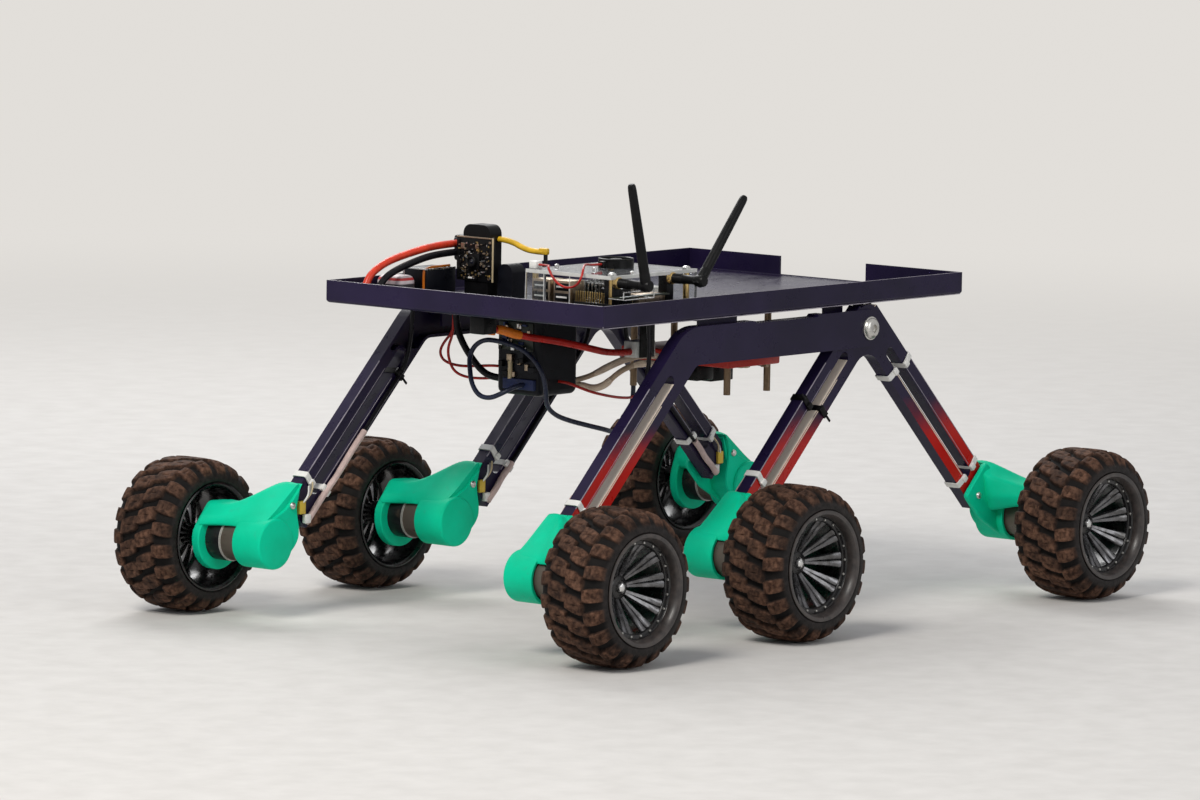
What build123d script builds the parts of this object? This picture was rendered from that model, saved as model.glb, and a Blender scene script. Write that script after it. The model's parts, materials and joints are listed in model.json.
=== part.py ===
from build123d import *
import math
import os

# A six-wheel rover: a folded sheet tray on two fixed rockers, each with a front leg and a bogie.
# +X is forward, +Y is the rover's left, Z is up. The origin is on the ground at the middle of the box.

# Wheels
TYRE_R = 65.0
TYRE_W = 66.0
TREAD_HALF = 16.0
LUG_COUNT = 20
LUG_DEPTH = 4.0
SHOULDER_DROP = 6.0
SEAT_R = 45.0
RIM_OPENING_R = 41.7
BARREL_R = 40.0
LIP_W = 5.0
TRACK_HALF = 236.0
SPOKE_PAIRS = 10
SPOKE_HUB_W = 2.4
SPOKE_RIM_W = 4.8
SPOKE_SPREAD = 5.5
SPOKE_T = 5.0
DISH_DEPTH = 29.0
HUB_R = 10.0
HUB_T = 16.0
NUT_R = 4.6
NUT_T = 5.0
SHAFT_R = 3.0
SHAFT_FIT = 0.05

# Running gear
FRONT_X = 314.0
PIVOT_X = -115.0
PIVOT_Z = 241.0
BOGIE_HALF = 199.0
ARM_DEPTH = 32.0
LEG_W = 32.0
LEG_SLOPE = 45.0
ARM_FACE_Y = 155.0
CHANNEL = 12.0
SKIN = 2.5
KNEE_OUTER_R = 42.0
KNEE_INNER_R = 12.0
CROTCH_R = 20.0
HUB_PLATE_R = 20.0
BAR_W = 11.0
SLOT_END_MARGIN = 26.0
LEG_AXLE_OFFSET = 10.6
LEG_END_ABOVE_AXLE = 20.0
NOTCH_BACK_X = -45.0
NOTCH_FRONT_X = 40.0
NOTCH_DROP = 2.0
BOLT_R = 5.0
BOLT_HEAD_R = 10.0
BOLT_HEAD_T = 5.0
NUT_ACROSS_R = 9.0
BOLT_END = 8.0
HANGER_FRONT_X = 75.0
HANGER_FRONT_L = 50.0
HANGER_REAR_X = -82.5
HANGER_REAR_L = 25.0
HANGER_SHELF = 28.0
HANGER_LAP = 28.0
LEG_CABLE_R = 2.0
LEG_CABLE_DROP = 50.0

# Tray
TRAY_L = 480.0
TRAY_W = 305.0
TRAY_X = -5.0
TRAY_RISE = 21.0
TRAY_LIP = 19.0
TRAY_T = 2.0
TRAY_BEND = 3.0
REAR_GAP = 96.0
MOUNT_HOLE_R = 2.2
MOUNT_PITCH_X = 80.0
MOUNT_PITCH_Y = 160.0
MOUNT_X = -170.0

# Drive units
MOTOR_R = 18.5
MOTOR_FACE_Y = 211.0
GEARBOX_L = 24.0
CAN_L = 42.0
CAP_R = 21.5
CAP_L = 45.0
CAP_END_Y = 134.0
FLANGE_R = 26.0
FLANGE_T = 5.0
SOCKET_WALL = 4.0
SOCKET_L = 30.0
LEG_INSERT = 22.0
CAP_EDGE_R = 1.5
CAP_WALL = 3.0
MOTOR_FIT = 0.3
BOSS_R = 6.0
WALL_W = 26.0
WALL_SHIFT = 6.0

# Computer in its clear case
CASE_L = 112.0
CASE_W = 92.0
CASE_X = 144.0
CASE_Y = 84.0
CASE_H = 38.0
CASE_T = 3.0
FRONT_PANE_W = 20.0
CASE_POST_R = 2.6
CASE_POST_INSET = 5.0
BOARD_T = 1.6
BOARD_RISE = 7.0
BOARD_EDGE = 4.0
COOLER_L = 46.0
COOLER_H = 16.0
PORT_DEPTH = 18.0
PORT_W = 19.5
PORT_H = 20.0
PORT_INSET = 4.0
PORT_GAP = 3.0
FAN_X = 130.0
FAN_Y = 77.0
FAN_R = 15.0
FAN_H = 8.0
AERIAL_FRONT_X = 190.0
AERIAL_REAR_X = 120.0
AERIAL_RISE = 34.0
AERIAL_R = 4.6
AERIAL_L = 88.0
STUB_R = 4.2
STUB_L = 30.0
KNUCKLE_R = 5.4

# Camera and power on the tray
SENSOR_X = 112.0
SENSOR_Y = -92.6
SENSOR_W = 42.0
SENSOR_H = 38.0
SENSOR_RISE = 15.0
LENS_R = 5.0
LENS_L = 6.0
CAMERA_T = 15.0
CAMERA_W = 30.0
CAMERA_RISE = 22.0
CAMERA_H = 41.0
CAMERA_ROUND = 8.0
FOOT_L = 22.0
FOOT_W = 26.0
REGULATOR_L = 17.0
REGULATOR_W = 16.0
REGULATOR_H = 29.0
REGULATOR_Y = -65.0
BATTERY_L = 38.0
BATTERY_W = 28.0
BATTERY_H = 24.0
BATTERY_X = 131.0
BATTERY_Y = -129.0
CELL_L = 23.0
CELL_H = 20.0
CELL_GAP = 12.0

# Below the tray
SUPPLY_X = 120.0
SUPPLY_Y = -16.0
SUPPLY_L = 52.0
SUPPLY_W = 48.0
SUPPLY_H = 74.0
SUPPLY_EDGE_R = 6.0
DRIVER_X = -77.0
DRIVER_L = 70.0
DRIVER_W = 120.0
DRIVER_DROP = 47.0
DRIVER_T = 3.0
DRIVER_INSET = 8.0
POST_R = 3.0
POST_L = 82.0
CHIPS_L = 55.0
CHIPS_W = 50.0
CHIPS_H = 25.0

TRAY_Z = PIVOT_Z + TRAY_RISE
AXLE_Z = TYRE_R
SLOPE = math.radians(LEG_SLOPE)
LEG_DIR = (math.cos(SLOPE), -math.sin(SLOPE))
FLOOR_Z = TRAY_Z + TRAY_T
MID = (Align.CENTER, Align.CENTER, Align.MIN)

# Wheel places: name, x of the axle, which way the leg runs down (+1 forward, -1 backward)
WHEELS = [
    ("front", FRONT_X, 1),
    ("middle", PIVOT_X + BOGIE_HALF, 1),
    ("rear", PIVOT_X - BOGIE_HALF, -1),
]
SIDES = [("left", 1), ("right", -1)]

# Cords: name, diameter, route. A route's heights are counted from TRAY_Z, the tray's underside.
LEAD_RED = [
    (220, -124, 10), (216, -124, 19), (208, -123.7, 27), (189, -123, 35),
    (160, -121.8, 40.6), (131, -119.8, 45), (104, -119.8, 45),
]
LEAD_BLACK = [
    (213, -116, 9), (207, -116, 18), (195, -116.3, 25), (169, -116.7, 32),
    (136, -117, 38), (104, -117, 38),
]
LEAD_YELLOW = [(100, -77.6, 51), (100, -66, 51), (99, -50, 44.5), (98.5, -39, 43.2), (98.5, -29, 43.2)]
FAN_WIRE = [
    (149, 77, 43.5), (161, 77, 43.5), (180, 86, 46), (199, 100, 46), (207, 105, 38), (207, 99, 30),
    (206, 86, 27.5), (205.5, 74, 33), (204, 65, 44), (192, 58, 43.5), (192, 46, 43.5),
]
POWER_RED = [
    (205, 4, -13), (193, 4, -13), (177, 4, -18), (164, 12, -21.5), (153, 24, -23.5), (137, 33, -27),
    (116, 38, -32), (90, 40, -38), (66, 40, -38),
]
HOSE_OUTER = [
    (94, -2, -64), (83, -2, -64), (72, 5, -60), (61, 15, -52), (49, 22, -46.5), (32, 26, -44),
    (12, 24, -46), (-10, 19, -52), (-32, 15, -57), (-49.5, 15, -57),
]
HOSE_INNER = [
    (94, -16, -65), (83, -16, -65), (72, -11, -69), (66, 0, -73), (63, 11, -69), (61, 20, -60),
    (55, 28, -53), (42, 34, -49.5), (22, 35, -52), (2, 30, -58), (-18, 19, -64), (-34, 8, -67),
    (-49.5, 8, -67),
]
LOW_WIRE = [
    (120, 8, -62), (120, 17, -62), (114, 25, -66), (103, 30, -70.5), (82, 28, -75), (58, 23, -79),
    (32, 16, -81.5), (8, 8, -78), (-14, 1, -73), (-32, -4, -70), (-49.5, -4, -70),
]
CABLE_RING = [
    (146, -6, -64), (158, -6, -64), (167, -13, -70), (171, -24, -75.5), (172, -36, -74), (169, -46.5, -65),
    (163, -54, -53), (159, -58, -43), (156, -55, -34), (154, -46, -28.5), (153, -33, -28.5),
    (153, -18, -30.5), (153, -3.5, -34), (152.5, 10, -42.5), (151, 18, -55), (148, 18, -69), (141, 13, -81),
    (129, 11, -89), (112, 10.5, -95), (88, 12, -101), (62, 13, -107), (32, 3, -114),
    (2, -18, -118), (-24, -38, -116), (-41, -49, -107), (-50, -52, -95), (-50, -52, -82),
]
WIRE_OUTER = [
    (118, -109, 0), (118, -109, -15), (119, -111.5, -29), (123, -118.5, -38.5), (125, -121.5, -47),
    (123.5, -117.5, -54.8), (119, -104.5, -58), (112, -92, -57.5), (108, -77, -56), (111, -61, -55.5),
    (111, -40, -55.5),
]
WIRE_INNER = [
    (128, -103.4, 0), (128, -103.4, -15), (128.5, -103.4, -30), (129, -109, -42.8), (128, -107, -54.8),
    (126, -102.4, -62.8), (121, -93, -66.8), (114, -79, -67), (116, -62, -64), (116, -40, -64),
]
TRUNK_CABLE = [
    (137, -93, 0), (137, -93, -14), (137, -90, -27), (137, -82.5, -39), (136.5, -73, -49.5),
    (136, -64, -57.5), (136, -53, -62), (136, -40, -62),
]
CORDS = [
    ("lead_red", 6.5, LEAD_RED), ("lead_black", 6.0, LEAD_BLACK), ("lead_yellow", 5.0, LEAD_YELLOW),
    ("fan_wire", 2.0, FAN_WIRE), ("power_red", 6.0, POWER_RED), ("hose_outer", 4.5, HOSE_OUTER),
    ("hose_inner", 4.8, HOSE_INNER), ("low_wire", 2.4, LOW_WIRE), ("cable_ring", 4.2, CABLE_RING),
    ("wire_outer", 2.4, WIRE_OUTER), ("wire_inner", 2.4, WIRE_INNER), ("trunk_cable", 6.0, TRUNK_CABLE),
]
RUN_SHARE = 0.45
GLAND_R = 5.5
GLAND_L = 9.0
PLUG_L = 26.0
PLUG_SIDE = 6.0
PLUG_H = 22.0
PLUG_DROP = 4.0
LEAD_POST_W = 7.0
LEAD_POST_T = 5.0
LEAD_POST_OVER = 4.0
FAN_PLUG_W = 8.0
FAN_PLUG_OVER = 3.0
POWER_L = 17.0
POWER_W = 16.0
SOCKET_BOX_L = 26.0
SOCKET_BOX_W = 14.0
SOCKET_BOX_UP = 2.0
LEAF_L = 18.0
LEAF_INSET = 4.0
LEAF_LAP = 5.0


def to_side(shape, side):
    """The left-hand shape, or its mirror image on the right."""
    return shape if side > 0 else mirror(shape, about=Plane.XZ)


def xz_plate(points, radii, y_outer, depth):
    """A closed outline in X and Z with rounded corners, from y_outer inwards by depth."""
    line = FilletPolyline(*points, radius=radii, close=True)
    return extrude(Plane.XZ.offset(-y_outer) * make_face(line), depth)


def y_cylinder(radius, y0, y1, x=0.0, z=0.0):
    """A cylinder along Y between two places."""
    disc = Plane.XZ.offset(-y1) * Pos(x, z) * Circle(radius)
    return extrude(disc, y1 - y0)


def block(x, y, z):
    """A box given by its two limits along each axis."""
    size = (x[1] - x[0], y[1] - y[0], z[1] - z[0])
    middle = ((x[0] + x[1]) / 2, (y[0] + y[1]) / 2, (z[0] + z[1]) / 2)
    return Pos(*middle) * Box(*size)


def around(middle, size):
    """Two limits at equal distances from a middle."""
    return (middle - size / 2, middle + size / 2)


def save(shape, name):
    """Writes one node as its own file."""
    shape.label = name
    export_step(shape, os.path.join("parts", name + ".step"))


os.makedirs("parts", exist_ok=True)


# Legs
def leg_frame(axle_x, forward):
    """Leg end centre beside an axle, and the leg's direction downwards."""
    end_z = AXLE_Z + LEG_END_ABOVE_AXLE
    run = LEG_END_ABOVE_AXLE / math.tan(SLOPE)
    sideways = LEG_AXLE_OFFSET / math.sin(SLOPE)
    end_x = axle_x - forward * (run + sideways)
    return end_x, end_z, (forward * LEG_DIR[0], LEG_DIR[1])


def leg_line(axle_x, forward, offset, z):
    """X at height z on a line beside the leg's middle, offset towards its upper side."""
    end_x, end_z, way = leg_frame(axle_x, forward)
    x0 = end_x + forward * math.sin(SLOPE) * offset
    z0 = end_z + math.cos(SLOPE) * offset
    return x0 + way[0] / way[1] * (z - z0)


def leg_slot(axle_x, forward, z_top, widen=0.0):
    """The long slot between a leg's two bars, as a solid cutter through the arm."""
    end_x, end_z, way = leg_frame(axle_x, forward)
    length = (z_top - end_z) / math.sin(SLOPE) - SLOT_END_MARGIN
    middle = SLOT_END_MARGIN + length / 2
    shape = SlotOverall(length + 2 * widen, LEG_W - 2 * BAR_W + 2 * widen)
    turn = math.degrees(math.atan2(way[1], way[0]))
    place = Pos(end_x - way[0] * middle, end_z - way[1] * middle) * Rot(0, 0, turn)
    return extrude(Plane.XZ.offset(-ARM_FACE_Y - 1) * place * shape, CHANNEL + 2 * SKIN)


# Rocker: a channel with its skin outside, from the bogie's pivot to the knee and down to the front wheel
end_x, end_z, way = leg_frame(FRONT_X, 1)
half = LEG_W / 2
arm_top = PIVOT_Z + ARM_DEPTH / 2
arm_low = PIVOT_Z - ARM_DEPTH / 2
arm_back = PIVOT_X - BOLT_HEAD_R - NOTCH_DROP
across = (half * math.sin(SLOPE), half * math.cos(SLOPE))
rocker_points = [
    (arm_back, arm_low),
    (arm_back, arm_top),
    (NOTCH_BACK_X, arm_top),
    (NOTCH_BACK_X + NOTCH_DROP, arm_top - NOTCH_DROP),
    (NOTCH_FRONT_X - NOTCH_DROP, arm_top - NOTCH_DROP),
    (NOTCH_FRONT_X, arm_top),
    (leg_line(FRONT_X, 1, half, arm_top), arm_top),
    (end_x + across[0], end_z + across[1]),
    (end_x - across[0], end_z - across[1]),
    (leg_line(FRONT_X, 1, -half, arm_low), arm_low),
]
rocker_radii = [10.0, 10.0, 1.0, 1.0, 1.0, 1.0, KNEE_OUTER_R, 2.0, 2.0, KNEE_INNER_R]
rocker = xz_plate(rocker_points, rocker_radii, ARM_FACE_Y, CHANNEL)
slot_top = PIVOT_Z - ARM_DEPTH * 0.75
rocker -= leg_slot(FRONT_X, 1, slot_top)

# The channel's hollow, open on the inner side, and the bare skin beside the bogie's plate
bogie_zone = PIVOT_X + BOGIE_HALF * 0.3
inner_top = arm_top - NOTCH_DROP - SKIN
leg_foot = arm_low - ARM_DEPTH / 4
hollow_points = [
    (bogie_zone + SKIN, arm_low + SKIN),
    (bogie_zone + SKIN, inner_top),
    (leg_line(FRONT_X, 1, half - SKIN, inner_top), inner_top),
    (leg_line(FRONT_X, 1, half - SKIN, leg_foot), leg_foot),
    (leg_line(FRONT_X, 1, -half + SKIN, leg_foot), leg_foot),
    (leg_line(FRONT_X, 1, -half + SKIN, arm_low + SKIN), arm_low + SKIN),
]
hollow_radii = [3.0, 3.0, KNEE_OUTER_R - SKIN, 2.0, 2.0, KNEE_INNER_R + SKIN]
hollow = xz_plate(hollow_points, hollow_radii, ARM_FACE_Y - SKIN, CHANNEL)
rocker -= hollow - leg_slot(FRONT_X, 1, slot_top, SKIN)
rocker -= block((arm_back - 1, bogie_zone), (0, ARM_FACE_Y - SKIN), (0, TRAY_Z))
rocker -= y_cylinder(BOLT_R, 0, ARM_FACE_Y + 1, PIVOT_X, PIVOT_Z)

# Bogie: two slotted legs at right angles that meet above the pivot, and a round plate on the pivot
bogie_y = ARM_FACE_Y - SKIN
bogie_wheels = WHEELS[1:]
apex_z = leg_line(bogie_wheels[0][1], 1, 0, 0) - PIVOT_X
bars = []
for name, axle_x, forward in bogie_wheels:
    ex, ez, ew = leg_frame(axle_x, forward)
    reach = (apex_z - ez) / math.sin(SLOPE)
    turn = math.degrees(math.atan2(ew[1], ew[0]))
    place = Pos(ex - ew[0] * reach / 2, ez - ew[1] * reach / 2) * Rot(0, 0, turn)
    bars.append(place * Rectangle(reach, LEG_W))
legs = bars[0] + bars[1]
crotch_z = apex_z - LEG_W * 0.7
crotch = legs.vertices().sort_by(lambda v: abs(v.X - PIVOT_X) + abs(v.Y - crotch_z))[0]
legs = fillet(crotch, CROTCH_R)
legs += Pos(PIVOT_X, PIVOT_Z) * Circle(HUB_PLATE_R)
bogie = extrude(Plane.XZ.offset(-bogie_y) * legs, CHANNEL)
for name, axle_x, forward in bogie_wheels:
    bogie -= leg_slot(axle_x, forward, PIVOT_Z - ARM_DEPTH * 0.62)
bogie -= y_cylinder(BOLT_R, 0, ARM_FACE_Y, PIVOT_X, PIVOT_Z)

# Pivot bolt with a domed head outside and a nut inside
bolt_in = bogie_y - CHANNEL
bolt = y_cylinder(BOLT_R, bolt_in - BOLT_END, ARM_FACE_Y, PIVOT_X, PIVOT_Z)
head = y_cylinder(BOLT_HEAD_R, ARM_FACE_Y, ARM_FACE_Y + BOLT_HEAD_T, PIVOT_X, PIVOT_Z)
head = fillet(head.edges().sort_by(Axis.Y)[-1], BOLT_HEAD_T * 0.7)
nut_face = Plane.XZ.offset(-bolt_in) * Pos(PIVOT_X, PIVOT_Z) * RegularPolygon(NUT_ACROSS_R, 6)
bolt += head
bolt += extrude(nut_face, NUT_T + 1)

# Brackets from the arms' inner sides to the tray's underside: x of the middle, length, inner face of the arm
HANGERS = [
    (HANGER_FRONT_X, HANGER_FRONT_L, ARM_FACE_Y - CHANNEL),
    (HANGER_REAR_X, HANGER_REAR_L, bogie_y - CHANNEL),
]
leaves = []
for x, length, inner in HANGERS:
    leaf = block(around(x, length), (inner - SKIN, inner), (TRAY_Z - HANGER_LAP, TRAY_Z))
    shelf = block(around(x, length), (inner - HANGER_SHELF, inner), (TRAY_Z - SKIN, TRAY_Z))
    leaves.append(leaf + shelf)


# Motor cables, tied along the inner side of each leg's upper bar and turned up to the tray
def leg_cable(axle_x, forward, face_y):
    """The cable from a mount's socket, up the leg and into the tray's underside."""
    ex, ez, ew = leg_frame(axle_x, forward)
    offset = (LEG_W - BAR_W) / 2
    x0 = ex - ew[0] * LEG_INSERT + forward * math.sin(SLOPE) * offset
    z0 = ez - ew[1] * LEG_INSERT + math.cos(SLOPE) * offset
    bend_z = TRAY_Z - LEG_CABLE_DROP
    bend_x = leg_line(axle_x, forward, offset, bend_z)
    y = face_y - LEG_CABLE_R
    route = [(x0, y, z0), (bend_x, y, bend_z), (bend_x, y, TRAY_Z)]
    return tube(route, 2 * LEG_CABLE_R)


def tube(points, diameter):
    """A cord along straight runs, joined by arcs as wide as its runs allow."""
    ends = [Vector(*p) for p in points]
    runs = [b - a for a, b in zip(ends, ends[1:])]
    radii = []
    for a, b in zip(runs, runs[1:]):
        turn = math.radians(a.get_angle(b))
        radii.append(RUN_SHARE * min(a.length, b.length) / math.tan(turn / 2))
    path = FilletPolyline(*points, radius=radii)
    section = Plane(origin=ends[0], z_dir=runs[0]) * Circle(diameter / 2)
    return sweep(section, path=path)


for side_name, side in SIDES:
    save(to_side(rocker, side), "rocker_" + side_name)
    save(to_side(bogie, side), "bogie_" + side_name)
leg_cables = []
for name, axle_x, forward in WHEELS:
    face_y = ARM_FACE_Y - CHANNEL if name == "front" else bogie_y - CHANNEL
    leg_cables.append(leg_cable(axle_x, forward, face_y))
save(Compound(children=[to_side(bolt, side) for name, side in SIDES]), "pivot_bolts")
save(Compound(children=[to_side(leaf, side) for leaf in leaves for name, side in SIDES]), "hangers")
save(Compound(children=[to_side(cable, side) for cable in leg_cables for name, side in SIDES]), "leg_cables")

# Tray: a folded pan with an open stretch in its rear lip
outer = Pos(TRAY_X, 0, TRAY_Z + TRAY_LIP / 2) * Box(TRAY_L, TRAY_W, TRAY_LIP)
outer = fillet(outer.edges().group_by(Axis.Z)[0], TRAY_BEND)
hollow_l = TRAY_L - 2 * TRAY_T
hollow_w = TRAY_W - 2 * TRAY_T
pan = Pos(TRAY_X, 0, FLOOR_Z + TRAY_LIP / 2) * Box(hollow_l, hollow_w, TRAY_LIP)
pan = fillet(pan.edges().group_by(Axis.Z)[0], TRAY_BEND - TRAY_T)
tray = outer - pan
tray_back = TRAY_X - TRAY_L / 2
lip_z = (TRAY_Z + TRAY_BEND, TRAY_Z + TRAY_LIP + 1)
tray -= block((tray_back - 1, tray_back + TRAY_BEND), around(0, REAR_GAP), lip_z)
for x in around(MOUNT_X, MOUNT_PITCH_X):
    for y in around(0, MOUNT_PITCH_Y):
        tray -= Pos(x, y, TRAY_Z) * Cylinder(MOUNT_HOLE_R, 4 * TRAY_T)
save(tray, "tray")


# Tyres: flat lugs that run slanting over the tread, so one shoulder is half a step behind the other
def on_circle(radius, degrees):
    """A point in X and Z at an angle round the axle."""
    return (radius * math.cos(math.radians(degrees)), radius * math.sin(math.radians(degrees)))


def lug_outline(tip, root, first):
    """The tyre's side view: lugs and gaps of equal angle, with sides that point at the axle."""
    step = 360.0 / LUG_COUNT
    corners = [(root, 0.0), (tip, 0.0), (tip, step / 2), (root, step / 2)]
    return [on_circle(r, first + k * step + a) for k in range(LUG_COUNT) for r, a in corners]


def ring_slab(points, half_width):
    """A slab between two sides, square to the axle, from its outline."""
    face = make_face(Polyline(*points, close=True))
    return extrude(Plane.XZ.offset(-half_width) * face, 2 * half_width)


def through_outlines(rings):
    """A solid through like outlines, each with its place along the axle. Its walls are triangles."""
    loops = [[Vector(x, y, z) for x, z in points] for points, y in rings]
    faces = [Face(Wire.make_polygon(loop, close=True)) for loop in (loops[0], loops[-1])]
    for a, b in zip(loops, loops[1:]):
        for k in range(len(a)):
            for corners in ([a[k - 1], a[k], b[k]], [a[k - 1], b[k], b[k - 1]]):
                faces.append(Face(Wire.make_polygon(corners, close=True)))
    return Solid(Shell(faces))


lug_step = 360.0 / LUG_COUNT
root_r = TYRE_R - LUG_DEPTH
edge_tip, edge_root = TYRE_R - SHOULDER_DROP, root_r - SHOULDER_DROP
tyre = through_outlines([
    (lug_outline(edge_tip, edge_root, 0.0), -TYRE_W / 2),
    (lug_outline(TYRE_R, root_r, 0.0), -TREAD_HALF),
    (lug_outline(TYRE_R, root_r, lug_step / 2), TREAD_HALF),
    (lug_outline(edge_tip, edge_root, lug_step / 2), TYRE_W / 2),
])
seat = [on_circle(SEAT_R, k * lug_step / 2) for k in range(2 * LUG_COUNT)]
tyre -= ring_slab(seat, TYRE_W)

# Rim: a drum with an opening each side, twin spokes that widen outwards, a recessed hub with its nut
spoke_y = TYRE_W / 2 - DISH_DEPTH - SPOKE_T
rim = ring_slab(seat, TYRE_W / 2)
rim -= y_cylinder(RIM_OPENING_R, -TYRE_W, TYRE_W)
inside = y_cylinder(SEAT_R, -TYRE_W / 2 + LIP_W, TYRE_W / 2 - LIP_W)
inside -= y_cylinder(BARREL_R, -TYRE_W, TYRE_W)
rim += inside & ring_slab(seat, TYRE_W / 2)
hub = y_cylinder(HUB_R, spoke_y - HUB_T + SPOKE_T, spoke_y + SPOKE_T)
hub += y_cylinder(NUT_R, spoke_y + SPOKE_T, spoke_y + SPOKE_T + NUT_T)
rim += hub
reach = BARREL_R + LIP_W / 4
hub_half, rim_half = SPOKE_HUB_W / 2, SPOKE_RIM_W / 2
spoke_outline = [(0, -hub_half), (reach, -rim_half), (reach, rim_half), (0, hub_half)]
spoke_face = make_face(Polyline(*spoke_outline, close=True))
spoke = extrude(Plane.XZ.offset(-spoke_y - SPOKE_T) * spoke_face, SPOKE_T)
for k in range(SPOKE_PAIRS):
    for lean in (-1, 1):
        rim += Rot(0, 360.0 / SPOKE_PAIRS * k + lean * SPOKE_SPREAD, 0) * spoke
rim -= y_cylinder(SHAFT_R + SHAFT_FIT, spoke_y - HUB_T, spoke_y + SPOKE_T - 2)


# Drive unit, about its own axle: printed mount, motor can with gearbox and shaft
def drive_mount(forward):
    """The mount about the axle, its leg socket on the side the leg comes from."""
    flange = y_cylinder(FLANGE_R, MOTOR_FACE_Y - FLANGE_T, MOTOR_FACE_Y)
    cap = y_cylinder(CAP_R, CAP_END_Y, CAP_END_Y + CAP_L)
    cap = fillet(cap.edges().sort_by(Axis.Y)[0], CAP_EDGE_R)
    ex, ez, ew = leg_frame(0, forward)
    ez -= AXLE_Z
    turn = math.degrees(math.atan2(ew[1], ew[0]))
    y1 = ARM_FACE_Y + SOCKET_WALL
    y0 = ARM_FACE_Y - SKIN - CHANNEL - SOCKET_WALL
    # A cheek as thick as the socket, the hull of the socket's outline and the cap
    back = LEG_INSERT - SOCKET_L / 2
    place = Pos(ex - ew[0] * back, ez - ew[1] * back) * Rot(0, 0, turn)
    mouth = place * Rectangle(SOCKET_L, LEG_W + 2 * SOCKET_WALL)
    outline = make_hull(mouth.edges() + Circle(CAP_R).edges())
    cheek = extrude(Plane.XZ.offset(-y1) * outline, y1 - y0)
    # A wall over the motor that curves up from the flange to the socket's top
    top = max(v.Y for v in mouth.vertices())
    low = FLANGE_R - CAP_WALL
    wall_line = [
        (MOTOR_FACE_Y, 0.0), (MOTOR_FACE_Y, low), (MOTOR_FACE_Y - 12, low),
        (y1 + 14, low + 2), (y1 - 4, top - CAP_WALL), (y0, top - CAP_WALL), (y0, 0.0),
    ]
    wall_face = make_face(FilletPolyline(*wall_line, radius=[0, 3, 8, 18, 5, 0, 0], close=True))
    wall = extrude(Plane.YZ.offset(-WALL_W / 2 - forward * WALL_SHIFT) * wall_face, WALL_W)
    body = flange + cap + cheek + wall
    body -= y_cylinder(MOTOR_R + MOTOR_FIT, CAP_END_Y + CAP_WALL, MOTOR_FACE_Y - FLANGE_T)
    body -= y_cylinder(BOSS_R, MOTOR_FACE_Y - FLANGE_T - 1, MOTOR_FACE_Y + 1)
    return body


gearbox_y = MOTOR_FACE_Y - FLANGE_T - GEARBOX_L
motor = y_cylinder(MOTOR_R, gearbox_y, MOTOR_FACE_Y - FLANGE_T)
motor += y_cylinder(MOTOR_R - 1, gearbox_y - CAN_L, gearbox_y)
motor += y_cylinder(BOSS_R, MOTOR_FACE_Y - FLANGE_T, MOTOR_FACE_Y)
motor += y_cylinder(SHAFT_R, MOTOR_FACE_Y, TRACK_HALF + spoke_y + SPOKE_T - 3)
for name, axle_x, forward in WHEELS:
    here = Pos(axle_x, 0, AXLE_Z)
    out = Pos(axle_x, TRACK_HALF, AXLE_Z)
    arm = rocker if name == "front" else bogie
    placed_mount = here * drive_mount(forward) - arm
    for side_name, side in SIDES:
        place_name = "_%s_%s" % (name, side_name)
        save(to_side(placed_mount, side), "mount" + place_name)
        save(to_side(here * motor, side), "motor" + place_name)
        save(to_side(out * tyre, side), "tyre" + place_name)
        save(to_side(out * rim, side), "rim" + place_name)

# Case: floor, cover with a back wall and a narrow front pane, corner posts
case_x = around(CASE_X, CASE_L)
case_y = around(CASE_Y, CASE_W)
case_top = FLOOR_Z + CASE_H
wall_z = (FLOOR_Z + CASE_T, case_top - CASE_T)
cover = block(case_x, case_y, (wall_z[1], case_top))
cover += block((case_x[0], case_x[0] + CASE_T), case_y, wall_z)
cover += block((case_x[1] - CASE_T, case_x[1]), (case_y[0], case_y[0] + FRONT_PANE_W), wall_z)
board_z = wall_z[0] + BOARD_RISE
board_top = board_z + BOARD_T
board_x = (case_x[0] + BOARD_EDGE, case_x[1] - BOARD_EDGE)
board = block(board_x, (case_y[0] + 2, case_y[1] - 2), (board_z, board_top))
case_posts = []
for x in around(CASE_X, CASE_L - 2 * CASE_T - 2 * CASE_POST_INSET):
    for y in around(CASE_Y, CASE_W - 2 * CASE_POST_INSET):
        case_posts.append(Pos(x, y, wall_z[0]) * Cylinder(CASE_POST_R, wall_z[1] - wall_z[0], align=MID))
# Two port blocks at the board's front edge
port_x = (board_x[1] - PORT_DEPTH, board_x[1])
for k in range(2):
    port_y = case_y[0] + PORT_INSET + k * (PORT_W + PORT_GAP)
    board += block(port_x, (port_y, port_y + PORT_W), (board_top, board_top + PORT_H))
board += block(around(CASE_X, COOLER_L), around(CASE_Y, COOLER_L), (board_top, board_top + COOLER_H))

# Aerials on sockets at the board's left edge: name, x of the stub, how far the mast leans forward in degrees
AERIALS = [("front", AERIAL_FRONT_X, 14.0), ("rear", AERIAL_REAR_X, -40.0)]
stub_z = TRAY_Z + AERIAL_RISE
tip_y = case_y[1] + STUB_L
for name, ax, lean in AERIALS:
    board += block(around(ax, 2 * STUB_R), (case_y[1] - 4 * CASE_T, case_y[1]), (board_z, wall_z[1]))
    stub = y_cylinder(STUB_R, case_y[1], tip_y, ax, stub_z)
    knuckle = y_cylinder(KNUCKLE_R, tip_y - KNUCKLE_R, tip_y + KNUCKLE_R, ax, stub_z)
    mast = Cylinder(AERIAL_R, AERIAL_L, align=MID)
    mast = fillet(mast.edges().sort_by(Axis.Z)[-1], AERIAL_R * 0.8)
    mast = Pos(ax, tip_y, stub_z) * Rot(0, lean, 0) * mast
    save(stub + knuckle + mast, "aerial_" + name)
for post in case_posts:
    board -= post
save(block(case_x, case_y, (FLOOR_Z, wall_z[0])), "case_floor")
save(cover, "case_cover")
save(board, "computer_board")
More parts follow.
